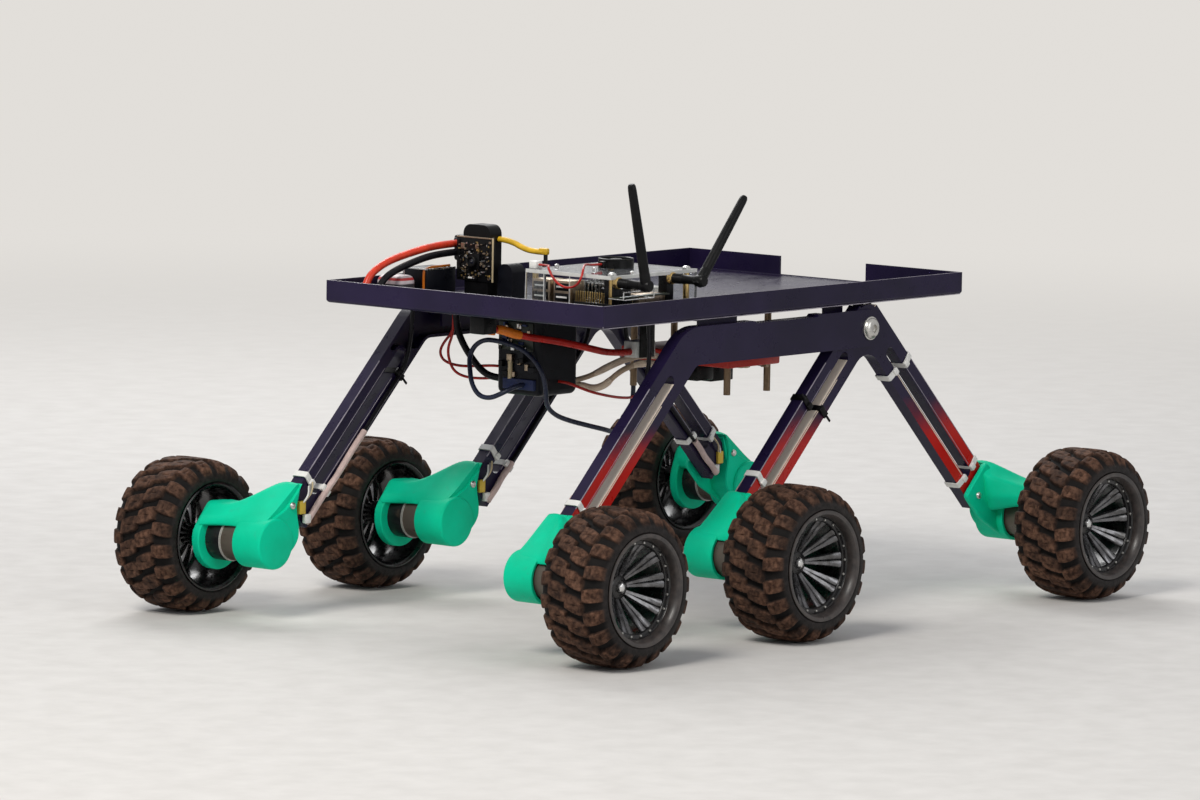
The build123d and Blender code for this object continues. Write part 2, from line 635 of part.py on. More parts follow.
save(Compound(children=case_posts), "case_posts")

# Fan on the cover, with the nub that its wire leaves by
fan = Pos(FAN_X, FAN_Y, case_top) * Cylinder(FAN_R, FAN_H, align=MID)
nub_x = FAN_WIRE[0][0]
nub_z = TRAY_Z + FAN_WIRE[0][2]
fan += block((FAN_X, nub_x), around(FAN_Y, FAN_H * 0.75), around(nub_z, FAN_H * 0.6))
save(fan, "case_fan")

# Camera: board with its lens, rounded body behind, foot below
board_low = TRAY_Z + SENSOR_RISE
sensor_z = (board_low, board_low + SENSOR_H)
sensor = block((SENSOR_X, SENSOR_X + BOARD_T), around(SENSOR_Y, SENSOR_W), sensor_z)
lens_z = board_low + SENSOR_H * 0.45
lens = Pos(SENSOR_X + BOARD_T, SENSOR_Y, lens_z) * Rot(0, 90, 0) * Cylinder(LENS_R, LENS_L, align=MID)
camera_low = TRAY_Z + CAMERA_RISE
camera_z = (camera_low, camera_low + CAMERA_H)
camera = block((SENSOR_X - CAMERA_T, SENSOR_X), around(SENSOR_Y, CAMERA_W), camera_z)
camera = fillet(camera.edges().filter_by(Axis.X).group_by(Axis.Z)[-1], CAMERA_ROUND)
foot = block((SENSOR_X - FOOT_L, SENSOR_X), around(SENSOR_Y, FOOT_W), (FLOOR_Z, camera_low))
save(sensor + lens, "sensor_board")
save(camera, "camera_body")
save(foot, "sensor_foot")
regulator_x = (SENSOR_X - FOOT_L, SENSOR_X - FOOT_L + REGULATOR_L)
regulator = block(regulator_x, around(REGULATOR_Y, REGULATOR_W), (FLOOR_Z, FLOOR_Z + REGULATOR_H))
regulator = fillet(regulator.edges().filter_by(Axis.X).group_by(Axis.Z)[-1], REGULATOR_W * 0.45)
save(regulator, "regulator")

# Battery beside the camera, with a lower cell in front of it
battery_y = around(BATTERY_Y, BATTERY_W)
battery = block(around(BATTERY_X, BATTERY_L), battery_y, (FLOOR_Z, FLOOR_Z + BATTERY_H))
cell_x = BATTERY_X + BATTERY_L / 2 + CELL_GAP
cell = block((cell_x, cell_x + CELL_L), battery_y, (FLOOR_Z, FLOOR_Z + CELL_H))
cell = fillet(cell.edges().filter_by(Axis.X).group_by(Axis.Z)[-1], CELL_H * 0.4)
save(Compound(children=[battery, cell]), "battery")

# Below the tray: a power supply with round edges, and a driver plate on four long posts
supply_z = (TRAY_Z - SUPPLY_H, TRAY_Z)
supply = block(around(SUPPLY_X, SUPPLY_L), around(SUPPLY_Y, SUPPLY_W), supply_z)
supply = fillet(supply.edges().filter_by(Axis.Z) + supply.edges().group_by(Axis.Z)[0], SUPPLY_EDGE_R)
save(supply, "supply_box")
plate_z = TRAY_Z - DRIVER_DROP
driver = block(around(DRIVER_X, DRIVER_L), around(0, DRIVER_W), (plate_z - DRIVER_T, plate_z))
rods = []
for x in around(DRIVER_X, DRIVER_L - 2 * DRIVER_INSET):
    for y in around(0, DRIVER_W - 2 * DRIVER_INSET):
        rod = Pos(x, y, TRAY_Z - POST_L) * Cylinder(POST_R, POST_L, align=MID)
        driver -= rod
        rods.append(rod)
chips_z = (plate_z - DRIVER_T - CHIPS_H, plate_z - DRIVER_T)
driver += block(around(DRIVER_X, CHIPS_L), around(0, CHIPS_W), chips_z)
save(driver, "driver_plate")
save(Compound(children=rods), "driver_posts")


# Cords, and the fittings that their ends go into
def gland(route):
    """A round gland on the tray's floor, square to the first run of a cord."""
    start = Vector(*route[0])
    back = (start - Vector(*route[1])).normalized()
    neck = Solid.extrude(Plane(origin=start, z_dir=back) * Circle(GLAND_R).face(), back * 2 * GLAND_L)
    room_x = (TRAY_X, TRAY_X + TRAY_L / 2 - TRAY_T)
    return neck & block(room_x, around(0, hollow_w), (FLOOR_Z, FLOOR_Z + 4 * GLAND_L))


routes = {name: [(x, y, TRAY_Z + z) for x, y, z in route] for name, size, route in CORDS}
for name, size, route in CORDS:
    save(tube(routes[name], size), name)
plug_end = routes["lead_red"][-1]
camera_side = SENSOR_Y - CAMERA_W / 2
plug_y = (plug_end[1] - PLUG_SIDE, camera_side)
lead_plug = block((plug_end[0] - PLUG_L, plug_end[0]), plug_y, around(plug_end[2] - PLUG_DROP, PLUG_H))
post_end = routes["lead_yellow"][-1]
post_y = (post_end[1], post_end[1] + LEAD_POST_T)
lead_post = block(around(post_end[0], LEAD_POST_W), post_y, (FLOOR_Z, post_end[2] + LEAD_POST_OVER))
fan_end = routes["fan_wire"][-1]
plug_y = (fan_end[1] - FAN_PLUG_W, fan_end[1])
fan_plug = block(around(fan_end[0], FAN_PLUG_W), plug_y, (case_top, fan_end[2] + FAN_PLUG_OVER))
power_start = routes["power_red"][0]
power_x = (power_start[0], power_start[0] + POWER_L)
power_block = block(power_x, around(power_start[1], POWER_W), (TRAY_Z - POWER_W, TRAY_Z))
power_end = routes["power_red"][-1]
socket_z = around(power_end[2] + SOCKET_BOX_UP, SOCKET_BOX_W)
socket = block((power_end[0] - SOCKET_BOX_L, power_end[0]), around(power_end[1], SOCKET_BOX_W), socket_z)
leaf_x = (power_end[0] - LEAF_INSET - LEAF_L, power_end[0] - LEAF_INSET)
leaf_y = (power_end[1] + SOCKET_BOX_W / 2, power_end[1] + SOCKET_BOX_W / 2 + SKIN)
socket += block(leaf_x, leaf_y, (power_end[2] - LEAF_LAP, TRAY_Z))
glands = gland(routes["lead_red"]) + gland(routes["lead_black"])
fittings = [glands, lead_plug, lead_post, fan_plug, power_block, socket]
save(Compound(children=fittings), "cord_fittings")
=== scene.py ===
import json
import math

import bpy
import numpy as np
from mathutils import Matrix, Vector


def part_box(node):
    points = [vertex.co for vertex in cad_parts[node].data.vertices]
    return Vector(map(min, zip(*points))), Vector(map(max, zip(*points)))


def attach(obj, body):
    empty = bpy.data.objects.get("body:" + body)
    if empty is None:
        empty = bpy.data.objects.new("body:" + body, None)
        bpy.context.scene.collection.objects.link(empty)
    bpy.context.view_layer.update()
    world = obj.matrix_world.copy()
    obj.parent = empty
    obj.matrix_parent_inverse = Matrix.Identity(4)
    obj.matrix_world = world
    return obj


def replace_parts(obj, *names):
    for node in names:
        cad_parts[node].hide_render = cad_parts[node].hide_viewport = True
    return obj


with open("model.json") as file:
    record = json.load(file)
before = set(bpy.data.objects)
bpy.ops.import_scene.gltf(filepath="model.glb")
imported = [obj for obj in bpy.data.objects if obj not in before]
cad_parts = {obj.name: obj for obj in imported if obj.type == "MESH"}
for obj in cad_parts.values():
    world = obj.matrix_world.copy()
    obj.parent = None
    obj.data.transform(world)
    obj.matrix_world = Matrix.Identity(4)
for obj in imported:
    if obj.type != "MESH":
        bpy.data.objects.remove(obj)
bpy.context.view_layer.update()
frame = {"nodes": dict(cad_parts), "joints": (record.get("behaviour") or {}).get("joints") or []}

MM = 0.001


# Camera: its lens and sensor in millimetres, its distance in metres, its angles about the aimed point, and
# how far the picture's middle lies from that point, in the photo's pixels
LENS = 246.3
SENSOR = 36
FOCAL_PIXELS = 8210.8
CAMERA_DISTANCE = 7.01
CAMERA_TURN = math.radians(50.276)
CAMERA_RISE = math.radians(6.323)
CAMERA_ROLL = -0.0173
AIM = Vector((-0.00535, 0, 0.15))
OFF_MIDDLE = (-45.893 / FOCAL_PIXELS, 28.709 / FOCAL_PIXELS)
VIEW_END = 60


def place_camera():
    """The axes are back, right and up after the roll; the view goes through the picture's middle."""
    back = Vector((
        math.sin(CAMERA_TURN) * math.cos(CAMERA_RISE),
        math.cos(CAMERA_TURN) * math.cos(CAMERA_RISE),
        math.sin(CAMERA_RISE),
    ))
    level = Vector((-math.cos(CAMERA_TURN), math.sin(CAMERA_TURN), 0))
    plumb = back.cross(level)
    right = math.cos(CAMERA_ROLL) * level - math.sin(CAMERA_ROLL) * plumb
    up = math.sin(CAMERA_ROLL) * level + math.cos(CAMERA_ROLL) * plumb
    look = (-back + OFF_MIDDLE[0] * right + OFF_MIDDLE[1] * up).normalized()
    side = (right - right.dot(look) * look).normalized()
    top = side.cross(look)
    camera = bpy.data.cameras.new("view")
    camera.lens = LENS
    camera.sensor_width = SENSOR
    camera.sensor_fit = "HORIZONTAL"
    camera.clip_end = VIEW_END
    held = bpy.data.objects.new("view", camera)
    held.matrix_world = Matrix((
        (side.x, top.x, -look.x, 0),
        (side.y, top.y, -look.y, 0),
        (side.z, top.z, -look.z, 0),
        (0, 0, 0, 1),
    ))
    held.location = AIM + CAMERA_DISTANCE * back
    bpy.context.scene.collection.objects.link(held)
    bpy.context.scene.camera = held
    return back, level


to_camera, camera_right = place_camera()
bpy.context.scene.view_settings.view_transform = "Standard"


# Materials: every pattern is on Object coordinates, in metres
def new_finish(name, colour=(0.5, 0.5, 0.5), rough=0.5, metal=0, **sockets):
    """A material with one shader, its constants set on the shader's own sockets."""
    made = bpy.data.materials.new(name)
    made.use_nodes = True
    shader = made.node_tree.nodes["Principled BSDF"]
    shader.inputs["Base Color"].default_value = (*colour, 1)
    shader.inputs["Roughness"].default_value = rough
    shader.inputs["Metallic"].default_value = metal
    for socket, value in sockets.items():
        shader.inputs[socket.replace("_", " ")].default_value = value
    return made


def shader_of(made):
    """The finish's one shader."""
    return made.node_tree.nodes["Principled BSDF"]


def add(made, kind, inputs=(), **settings):
    """One node with its settings, and its inputs given as numbers or other nodes' outputs."""
    made_node = made.node_tree.nodes.new(kind)
    for key, value in settings.items():
        setattr(made_node, key, value)
    for key, value in dict(inputs).items():
        if isinstance(value, bpy.types.NodeSocket):
            made.node_tree.links.new(value, made_node.inputs[key])
        else:
            made_node.inputs[key].default_value = value
    return made_node


def spot_of(made):
    """The Object coordinates of the point that is shaded."""
    return add(made, "ShaderNodeTexCoord").outputs["Object"]


def place(made, stretch=(1, 1, 1)):
    """Object coordinates, each multiplied by its own stretch."""
    return add(made, "ShaderNodeMapping", {"Vector": spot_of(made), "Scale": stretch}).outputs["Vector"]


def parts_of(made, vector):
    """The X, Y and Z outputs of a vector."""
    return add(made, "ShaderNodeSeparateXYZ", {0: vector}).outputs


def axis_of(made, name):
    """One of the Object coordinates: X, Y or Z."""
    return parts_of(made, spot_of(made))[name]


def noise(made, scale, detail=4, stretch=(1, 1, 1)):
    """Cloudy noise: scale is its number of clouds in a metre, detail the octaves added to it."""
    inputs = {"Vector": place(made, stretch), "Scale": scale, "Detail": detail, "Roughness": 0.55}
    return add(made, "ShaderNodeTexNoise", inputs).outputs["Fac"]


def spread(made, value, low, high, to_low=0, to_high=1, shape="LINEAR"):
    """A value's range from low to high, stretched to another and clamped."""
    inputs = {"Value": value, "From Min": low, "From Max": high, "To Min": to_low, "To Max": to_high}
    return add(made, "ShaderNodeMapRange", inputs, interpolation_type=shape).outputs["Result"]


def patches(made, scale, detail, low, high, to_low=0, to_high=1):
    """Cloudy noise with its range from low to high stretched to another."""
    return spread(made, noise(made, scale, detail), low, high, to_low, to_high)


def calc(made, kind, first, second=0):
    """One Math node's result: a sum, product, size or comparison of one value or two."""
    return add(made, "ShaderNodeMath", {0: first, 1: second}, operation=kind).outputs[0]


def near_to(made, value, middle, reach):
    """1 where a value is within reach of the middle, else 0."""
    compared = calc(made, "COMPARE", value, middle)
    compared.node.inputs[2].default_value = reach
    return compared


def tint(made, share, first, second):
    """A colour between two, by a share from 0 to 1."""
    ends = [c if isinstance(c, bpy.types.NodeSocket) else (*c, 1) for c in (first, second)]
    inputs = {0: share, 6: ends[0], 7: ends[1]}
    return add(made, "ShaderNodeMix", inputs, data_type="RGBA").outputs[2]


def set_colour(made, colour):
    """The shader's colour, from a pattern."""
    made.node_tree.links.new(colour, shader_of(made).inputs["Base Color"])


def set_rough(made, rough):
    """The shader's roughness, from a pattern."""
    made.node_tree.links.new(rough, shader_of(made).inputs["Roughness"])


def set_bump(made, height, distance, strength=1):
    """Relief: a pattern's height times a distance in metres, tilting the shader's normal."""
    inputs = {"Height": height, "Distance": distance, "Strength": strength}
    bump = add(made, "ShaderNodeBump", inputs)
    made.node_tree.links.new(bump.outputs["Normal"], shader_of(made).inputs["Normal"])


# The legs' slots with a painted highlight on their lower wall: the plane through a slot's middle is x + z =
# offset, in metres, and the slot reaches this far from it
SLOT_PLANES = (0.364, 0.134)
SLOT_REACH = 0.0093


def painted_slot_highlight(made, normal):
    """1 on the lower wall of the slots in the front and middle left legs, where sunlight on the glossy wall
    is painted as a highlight.

    The wall is near the slot's middle plane and faces away from it along (1, 0, 1) / sqrt 2.
    """
    x, z = axis_of(made, "X"), axis_of(made, "Z")
    facing = parts_of(made, normal)
    total = 0
    for offset in SLOT_PLANES:
        height = calc(made, "SUBTRACT", calc(made, "ADD", x, z), offset)
        near = calc(made, "LESS_THAN", calc(made, "ABSOLUTE", height), SLOT_REACH)
        turned_to = calc(made, "ADD", facing["X"], facing["Z"])
        wall = calc(made, "MULTIPLY", near, calc(made, "GREATER_THAN", turned_to, 1.35))
        total = calc(made, "MAXIMUM", wall, total)
    return calc(made, "MULTIPLY", total, calc(made, "GREATER_THAN", axis_of(made, "Y"), 0.1))


def blue_black_coat(name, painted_ground_reflection):
    """Glossy dark coat with orange-peel, fine dust on level faces, and on the legs painted light: a painted
    reflection of the red ground on their lower outer faces, and a painted highlight on some slot walls.
    """
    made = new_finish(name, rough=0.3, Specular_IOR_Level=0.22, Coat_Weight=0.06, Coat_Roughness=0.15)
    base = tint(made, patches(made, 14, 3, 0.35, 0.7), (0.0085, 0.0054, 0.024), (0.0165, 0.01, 0.042))
    normal = add(made, "ShaderNodeNewGeometry").outputs["Normal"]
    level = spread(made, parts_of(made, normal)["Z"], 0.75, 1)
    dusty = calc(made, "MULTIPLY", level, patches(made, 900, 2, 0.52, 0.72))
    base = tint(made, calc(made, "MULTIPLY", dusty, 0.16), base, (0.2, 0.15, 0.11))
    if painted_ground_reflection:
        # Painted reflection: the red ground seen in the glossy lower legs, painted into the outer faces'
        # colour
        outward = calc(made, "MULTIPLY", parts_of(made, normal)["Y"], axis_of(made, "Y"))
        wavering = calc(made, "ADD", axis_of(made, "Z"), patches(made, 22, 4, 0.3, 0.7, -0.008, 0.008))
        lower = spread(made, wavering, 0.178, 0.138, shape="SMOOTHSTEP")
        skin_side = spread(made, outward, 0.09, 0.125)
        share = calc(made, "MULTIPLY", skin_side, calc(made, "MULTIPLY", lower, 0.96))
        base = tint(made, share, base, (0.47, 0.01, 0.005))
        # Painted highlight: sunlight on the lower wall of the left legs' slots
        base = tint(made, painted_slot_highlight(made, normal), base, (0.9, 0.77, 0.64))
    set_colour(made, base)
    set_rough(made, patches(made, 60, 4, 0.3, 0.7, 0.24, 0.38))
    set_bump(made, noise(made, 420, 1), 0.00002, 0.15)
    return made


def green_print():
    """Matte printed plastic: fine layers along the wheel's axle, with slight colour drift between them."""
    made = new_finish("green_print", rough=0.55, Specular_IOR_Level=0.12)
    layers = add(made, "ShaderNodeTexWave", {
        "Vector": place(made), "Scale": 420, "Distortion": 0.6, "Detail": 1, "Detail Scale": 2,
    }, wave_type="BANDS", bands_direction="Y").outputs["Fac"]
    base = tint(made, patches(made, 35, 3, 0.3, 0.7), (0, 0.56, 0.3), (0, 0.66, 0.375))
    base = tint(made, patches(made, 160, 5, 0.6, 0.78, 0, 0.35), base, (0.05, 0.42, 0.24))
    set_colour(made, base)
    set_rough(made, spread(made, layers, 0, 1, 0.46, 0.62))
    set_bump(made, layers, 0.00022, 0.55)
    return made


def motor_case():
    """Black can with a bronze-grey gearbox outside and a bright ring line where they meet."""
    made = new_finish("motor_case", rough=0.36, metal=0.35)
    out = calc(made, "ABSOLUTE", axis_of(made, "Y"))
    base = tint(made, spread(made, out, 0.1815, 0.1822), (0.105, 0.088, 0.07), (0.012, 0.012, 0.014))
    base = tint(made, near_to(made, out, 0.1822, 0.0007), base, (0.5, 0.49, 0.46))
    base = tint(made, patches(made, 120, 4, 0.58, 0.75, 0, 0.5), base, (0.14, 0.1, 0.07))
    set_colour(made, base)
    set_rough(made, spread(made, noise(made, 260, 3, (1, 0.2, 1)), 0.3, 0.7, 0.25, 0.5))
    return made


def tyre_rubber():
    """Dark rubber: red-brown dust on the lugs and in streaks, black recesses, a cleaner glossy sidewall."""
    made = new_finish("tyre_rubber", rough=0.7, Specular_IOR_Level=0.16)
    lug = add(made, "ShaderNodeAttribute", attribute_name="lug").outputs["Fac"]
    wall = add(made, "ShaderNodeAttribute", attribute_name="wall").outputs["Fac"]
    grains = patches(made, 240, 6, 0.38, 0.64)
    clouds = patches(made, 55, 3, 0.35, 0.62)
    rubber = tint(made, clouds, (0.004, 0.0036, 0.0036), (0.009, 0.0075, 0.007))
    dust = tint(made, grains, (0.044, 0.02, 0.012), (0.15, 0.076, 0.047))
    share = calc(made, "MULTIPLY", lug, spread(made, clouds, 0, 1, 0.35, 0.95))
    base = tint(made, share, rubber, dust)
    haze = calc(made, "MULTIPLY", wall, spread(made, grains, 0, 1, 0.05, 0.3))
    set_colour(made, tint(made, haze, base, (0.055, 0.044, 0.041)))
    set_rough(made, spread(made, wall, 0, 1, 0.78, 0.4))
    set_bump(made, noise(made, 700), 0.00035, 0.6)
    return made


def rim_gloss():
    """Gloss black plastic with faint dust."""
    made = new_finish("rim_gloss", rough=0.24, Coat_Weight=0.12, Coat_Roughness=0.12)
    dusty = patches(made, 180, 5, 0.5, 0.74, 0, 0.25)
    set_colour(made, tint(made, dusty, (0.005, 0.005, 0.006), (0.07, 0.052, 0.04)))
    set_rough(made, patches(made, 90, 4, 0.35, 0.7, 0.16, 0.38))
    return made


def spoke_gloss():
    """Dark chromed plastic of the spokes, brighter where it is rubbed."""
    made = new_finish("spoke_gloss", rough=0.22, metal=0.85)
    set_colour(made, tint(made, patches(made, 140, 4, 0.35, 0.7), (0.2, 0.2, 0.21), (0.09, 0.087, 0.085)))
    set_rough(made, patches(made, 200, 4, 0.3, 0.7, 0.14, 0.36))
    return made


def bright_steel(name, colour=(0.62, 0.61, 0.58), rough=0.28):
    """Plated steel with fine scratches and a few dull spots."""
    made = new_finish(name, rough=rough, metal=1)
    dull = tuple(0.45 * c for c in colour)
    set_colour(made, tint(made, patches(made, 260, 4, 0.55, 0.75, 0, 0.6), colour, dull))
    scratches = noise(made, 900, 2, (1, 1, 0.15))
    set_rough(made, spread(made, scratches, 0.3, 0.7, rough - 0.08, rough + 0.14))
    return made


def lip_grey():
    """The rim's outer lip: black plastic hazed grey by dust and wear, with a soft gloss."""
    made = new_finish("lip_grey", rough=0.34, Coat_Weight=0.15, Coat_Roughness=0.2)
    haze = patches(made, 150, 5, 0.35, 0.68)
    set_colour(made, tint(made, haze, (0.026, 0.022, 0.021), (0.06, 0.048, 0.043)))
    set_rough(made, patches(made, 60, 3, 0.3, 0.7, 0.26, 0.44))
    return made


def clear_sheet():
    """Clear case plastic with faint smears."""
    made = new_finish("clear_sheet", (0.84, 0.87, 0.89), 0.04, Transmission_Weight=0.97, IOR=1.42)
    set_rough(made, patches(made, 70, 4, 0.4, 0.75, 0.02, 0.22))
    return made


def plain_plastic(name, colour, rough=0.42, mottled=0.35, grain=0.00006):
    """Moulded plastic: a slight mottle in its colour and gloss, and a fine grain."""
    made = new_finish(name, rough=rough, Specular_IOR_Level=0.32 if max(colour) > 0.03 else 0.16)
    dark = tuple((1 - mottled) * c for c in colour)
    set_colour(made, tint(made, patches(made, 90, 4, 0.35, 0.68), dark, colour))
    set_rough(made, patches(made, 160, 3, 0.3, 0.7, rough - 0.1, rough + 0.12))
    set_bump(made, noise(made, 1500, 2), grain, 0.6)
    return made


def board_green(name, colour, line_colour):
    """Circuit board lacquer with fine copper lines below it, in steps along both sides."""
    made = new_finish(name, rough=0.36, Specular_IOR_Level=0.35)
    cells = add(made, "ShaderNodeTexVoronoi", {"Vector": place(made), "Scale": 330},
                distance="MANHATTAN", feature="F1").outputs["Distance"]
    lines = spread(made, cells, 0.3, 0.36)
    set_colour(made, tint(made, calc(made, "MULTIPLY", lines, 0.55), colour, line_colour))
    set_bump(made, lines, 0.00004, 0.5)
    return made


coat = blue_black_coat("blue_black_coat", False)
leg_coat = blue_black_coat("leg_coat", True)
green = green_print()
motor_black = motor_case()
rubber = tyre_rubber()
rim_black = rim_gloss()
rim_lip = lip_grey()
spoke_grey = spoke_gloss()
steel = bright_steel("bright_steel")
brass = bright_steel("brass", (0.62, 0.44, 0.18), 0.3)
silver = bright_steel("silver_case", (0.7, 0.7, 0.69), 0.24)
clear = clear_sheet()
black_plastic = plain_plastic("black_plastic", (0.0045, 0.0045, 0.005), 0.38)
dark_case = plain_plastic("dark_case", (0.0065, 0.0072, 0.011), 0.36)
white_plastic = plain_plastic("white_plastic", (0.82, 0.81, 0.77), 0.45, 0.15)
cream_plastic = plain_plastic("cream_plastic", (0.62, 0.5, 0.3), 0.45, 0.3)
board_dark = board_green("board_dark", (0.006, 0.01, 0.009), (0.03, 0.036, 0.024))
red_skin = plain_plastic("red_skin", (0.52, 0.02, 0.014), 0.32, 0.35)
orange_skin = plain_plastic("orange_skin", (0.8, 0.2, 0.012), 0.34, 0.2)
lead_skin = plain_plastic("lead_skin", (0.76, 0.055, 0.022), 0.32, 0.25)
power_skin = plain_plastic("power_skin", (0.5, 0.014, 0.008), 0.32, 0.35)
yellow_skin = plain_plastic("yellow_skin", (0.82, 0.5, 0.03), 0.34, 0.25)
beige_skin = plain_plastic("beige_skin", (0.52, 0.38, 0.27), 0.42, 0.35)
beige_light = plain_plastic("beige_light", (0.76, 0.6, 0.47), 0.42, 0.25)
black_skin = plain_plastic("black_skin", (0.008, 0.0075, 0.01), 0.3, 0.35)
blue_black_skin = plain_plastic("blue_black_skin", (0.02, 0.026, 0.055), 0.28, 0.4)


# Meshes: a shape is rings of points, a numpy array of ring, point and x y z, in millimetres
def skin_of(rings, loop=False):
    """Quads between neighbouring closed rings. The last ring joins the first, or both ends get a face."""
    count, side = rings.shape[:2]
    spans = count if loop else count - 1
    ring = np.arange(spans)[:, None]
    here = np.arange(side)[None, :]
    after = (here + 1) % side
    far = (ring + 1) % count
    quads = np.stack([ring * side + here, ring * side + after, far * side + after, far * side + here], -1)
    faces = quads.reshape(-1, 4).tolist()
    if not loop:
        faces.append(list(range(side - 1, -1, -1)))
        faces.append(list(range((count - 1) * side, count * side)))
    return rings.reshape(-1, 3), faces


def volume_of(points, faces):
    """Six times the signed volume, from the fans of triangles about each face's first corner."""
    total = 0
    for size in {len(face) for face in faces}:
        ring = points[np.array([face for face in faces if len(face) == size])]
        for k in range(1, size - 1):
            total += np.einsum("ij,ij->i", ring[:, 0], np.cross(ring[:, k], ring[:, k + 1])).sum()
    return total


def joined(shapes):
    """Several shapes as one list of points and faces, with the faces outwards and each one's finish."""
    points, faces, finishes = [], [], []
    first = 0
    for (shape_points, shape_faces), finish in shapes:
        middle = shape_points - shape_points.mean(axis=0)
        if volume_of(middle, shape_faces) < 0:
            shape_faces = [face[::-1] for face in shape_faces]
        points.append(shape_points)
        faces.extend([[first + k for k in face] for face in shape_faces])
        finishes.extend([finish] * len(shape_faces))
        first += len(shape_points)
    return np.concatenate(points), faces, finishes


def make_piece(name, shapes, body, flat_below=35, marks=()):
    """One object from shapes with their finishes; shading is smooth up to an angle in degrees."""
    points, faces, finishes = joined(shapes)
    mesh = bpy.data.meshes.new(name)
    mesh.from_pydata((points * MM).tolist(), [], faces)
    used = []
    for finish in finishes:
        if finish not in used:
            used.append(finish)
    for finish in used:
        mesh.materials.append(finish)
    order = {finish: k for k, finish in enumerate(used)}
    mesh.polygons.foreach_set("material_index", [order[finish] for finish in finishes])
    for mark, values in marks:
        attribute = mesh.attributes.new(mark, "FLOAT", "POINT")
        attribute.data.foreach_set("value", np.ascontiguousarray(values, dtype=np.float32))
    mesh.shade_smooth()
    mesh.set_sharp_from_angle(angle=math.radians(flat_below))
    mesh.validate()
    piece = bpy.data.objects.new(name, mesh)
    bpy.context.scene.collection.objects.link(piece)
    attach(piece, body)
    return piece


def turned(profile, count=32, loop=False, at=(0, 0, 0), axis="Z"):
    """A profile of radius and height carried round an axis."""
    profile = np.asarray(profile, float)
    angle = circle(count)
    r, t = profile[:, 0][:, None], profile[:, 1][:, None] + 0 * angle[None, :]
    a, b = r * np.cos(angle)[None, :], r * np.sin(angle)[None, :]
    order = {"X": (t, a, b), "Y": (a, t, b), "Z": (a, b, t)}[axis]
    return skin_of(np.stack(order, -1) + np.asarray(at, float), loop)


def soft_block(low, high, edge=0.6, side_points=3):
    """A block with round edges: a rounded rectangle carried up, drawn in at its top and bottom."""
    low, high = np.asarray(low, float), np.asarray(high, float)
    middle, half = (low + high) / 2, (high - low) / 2
    edge = min(edge, 0.49 * 2 * half.min())
    turn = np.concatenate([np.linspace(k, k + 1, side_points) * np.pi / 2 for k in range(4)])
    corner = np.repeat([[1, 1], [-1, 1], [-1, -1], [1, -1]], side_points, axis=0)
    bend = np.linspace(0, np.pi / 2, side_points)
    inset = np.concatenate([edge * (1 - np.sin(bend)), edge * (1 - np.cos(bend))])
    height = np.concatenate([-half[2] + edge * (1 - np.cos(bend)), half[2] - edge * (1 - np.sin(bend))])
    round_x = corner[:, 0] * (half[0] - edge) + edge * np.cos(turn)
    round_y = corner[:, 1] * (half[1] - edge) + edge * np.sin(turn)
    inner_x = corner[:, 0] * (half[0] - edge)
    inner_y = corner[:, 1] * (half[1] - edge)
    keep = (1 - inset / edge)[:, None]
    x = inner_x + keep * (round_x - inner_x)
    y = inner_y + keep * (round_y - inner_y)
    z = height[:, None] + 0 * x
    return skin_of(np.stack([x, y, z], -1) + middle)


def moved(shape, move=(0, 0, 0), turn=None):
    """A shape turned by a matrix about the origin, then moved."""
    points, faces = shape
    if turn is not None:
        points = points @ np.array(turn).T
    return points + np.asarray(move, float), faces


def turn_about(axis, degrees):
    """The matrix of a turn about an axis through the origin."""
    return np.array(Matrix.Rotation(math.radians(degrees), 3, axis))


def circle(sides):
    """The angles of equally spaced points round a circle."""
    return np.linspace(0, 2 * np.pi, sides, endpoint=False)


def bar_between(start, end, radius, sides=10):
    """A round bar with two ends, from a circle carried along a line."""
    start, end = np.asarray(start, float), np.asarray(end, float)
    way = (end - start) / np.linalg.norm(end - start)
    aside = np.cross(way, [0.3, 0.5, 0.81])
    aside /= np.linalg.norm(aside)
    above = np.cross(way, aside)
    angle = circle(sides)[:, None]
    ring = radius * (np.cos(angle) * aside + np.sin(angle) * above)
    return skin_of(np.stack([start + ring, end + ring]))


def six_sided(levels, flat, count, widest=99):
    """A hexagon about the y axis with half its width across flats, cut to a widest radius at its corners.

    Each level is a share of the hexagon's size and its place along y.
    """
    levels, angle = np.array(levels), circle(count)
    reach = flat / np.cos((angle + np.pi / 6) % (np.pi / 3) - np.pi / 6)
    reach = np.minimum(levels[:, :1] * reach[None, :], widest)
    return skin_of(np.stack([reach * np.cos(angle), levels[:, 1:] + 0 * reach, reach * np.sin(angle)], -1))


def blocks(*rows):
    """Round-edged blocks, each from a row of its low corner, high corner, edge (and points) and finish."""
    return [(soft_block(*row[:-1]), row[-1]) for row in rows]


# Floor and light
SEEN_PALE = (0.76, 0.735, 0.7, 1)
FLOOR_HALF = 9
FLOOR_CELLS = 12
FLOOR_Z = -0.0004


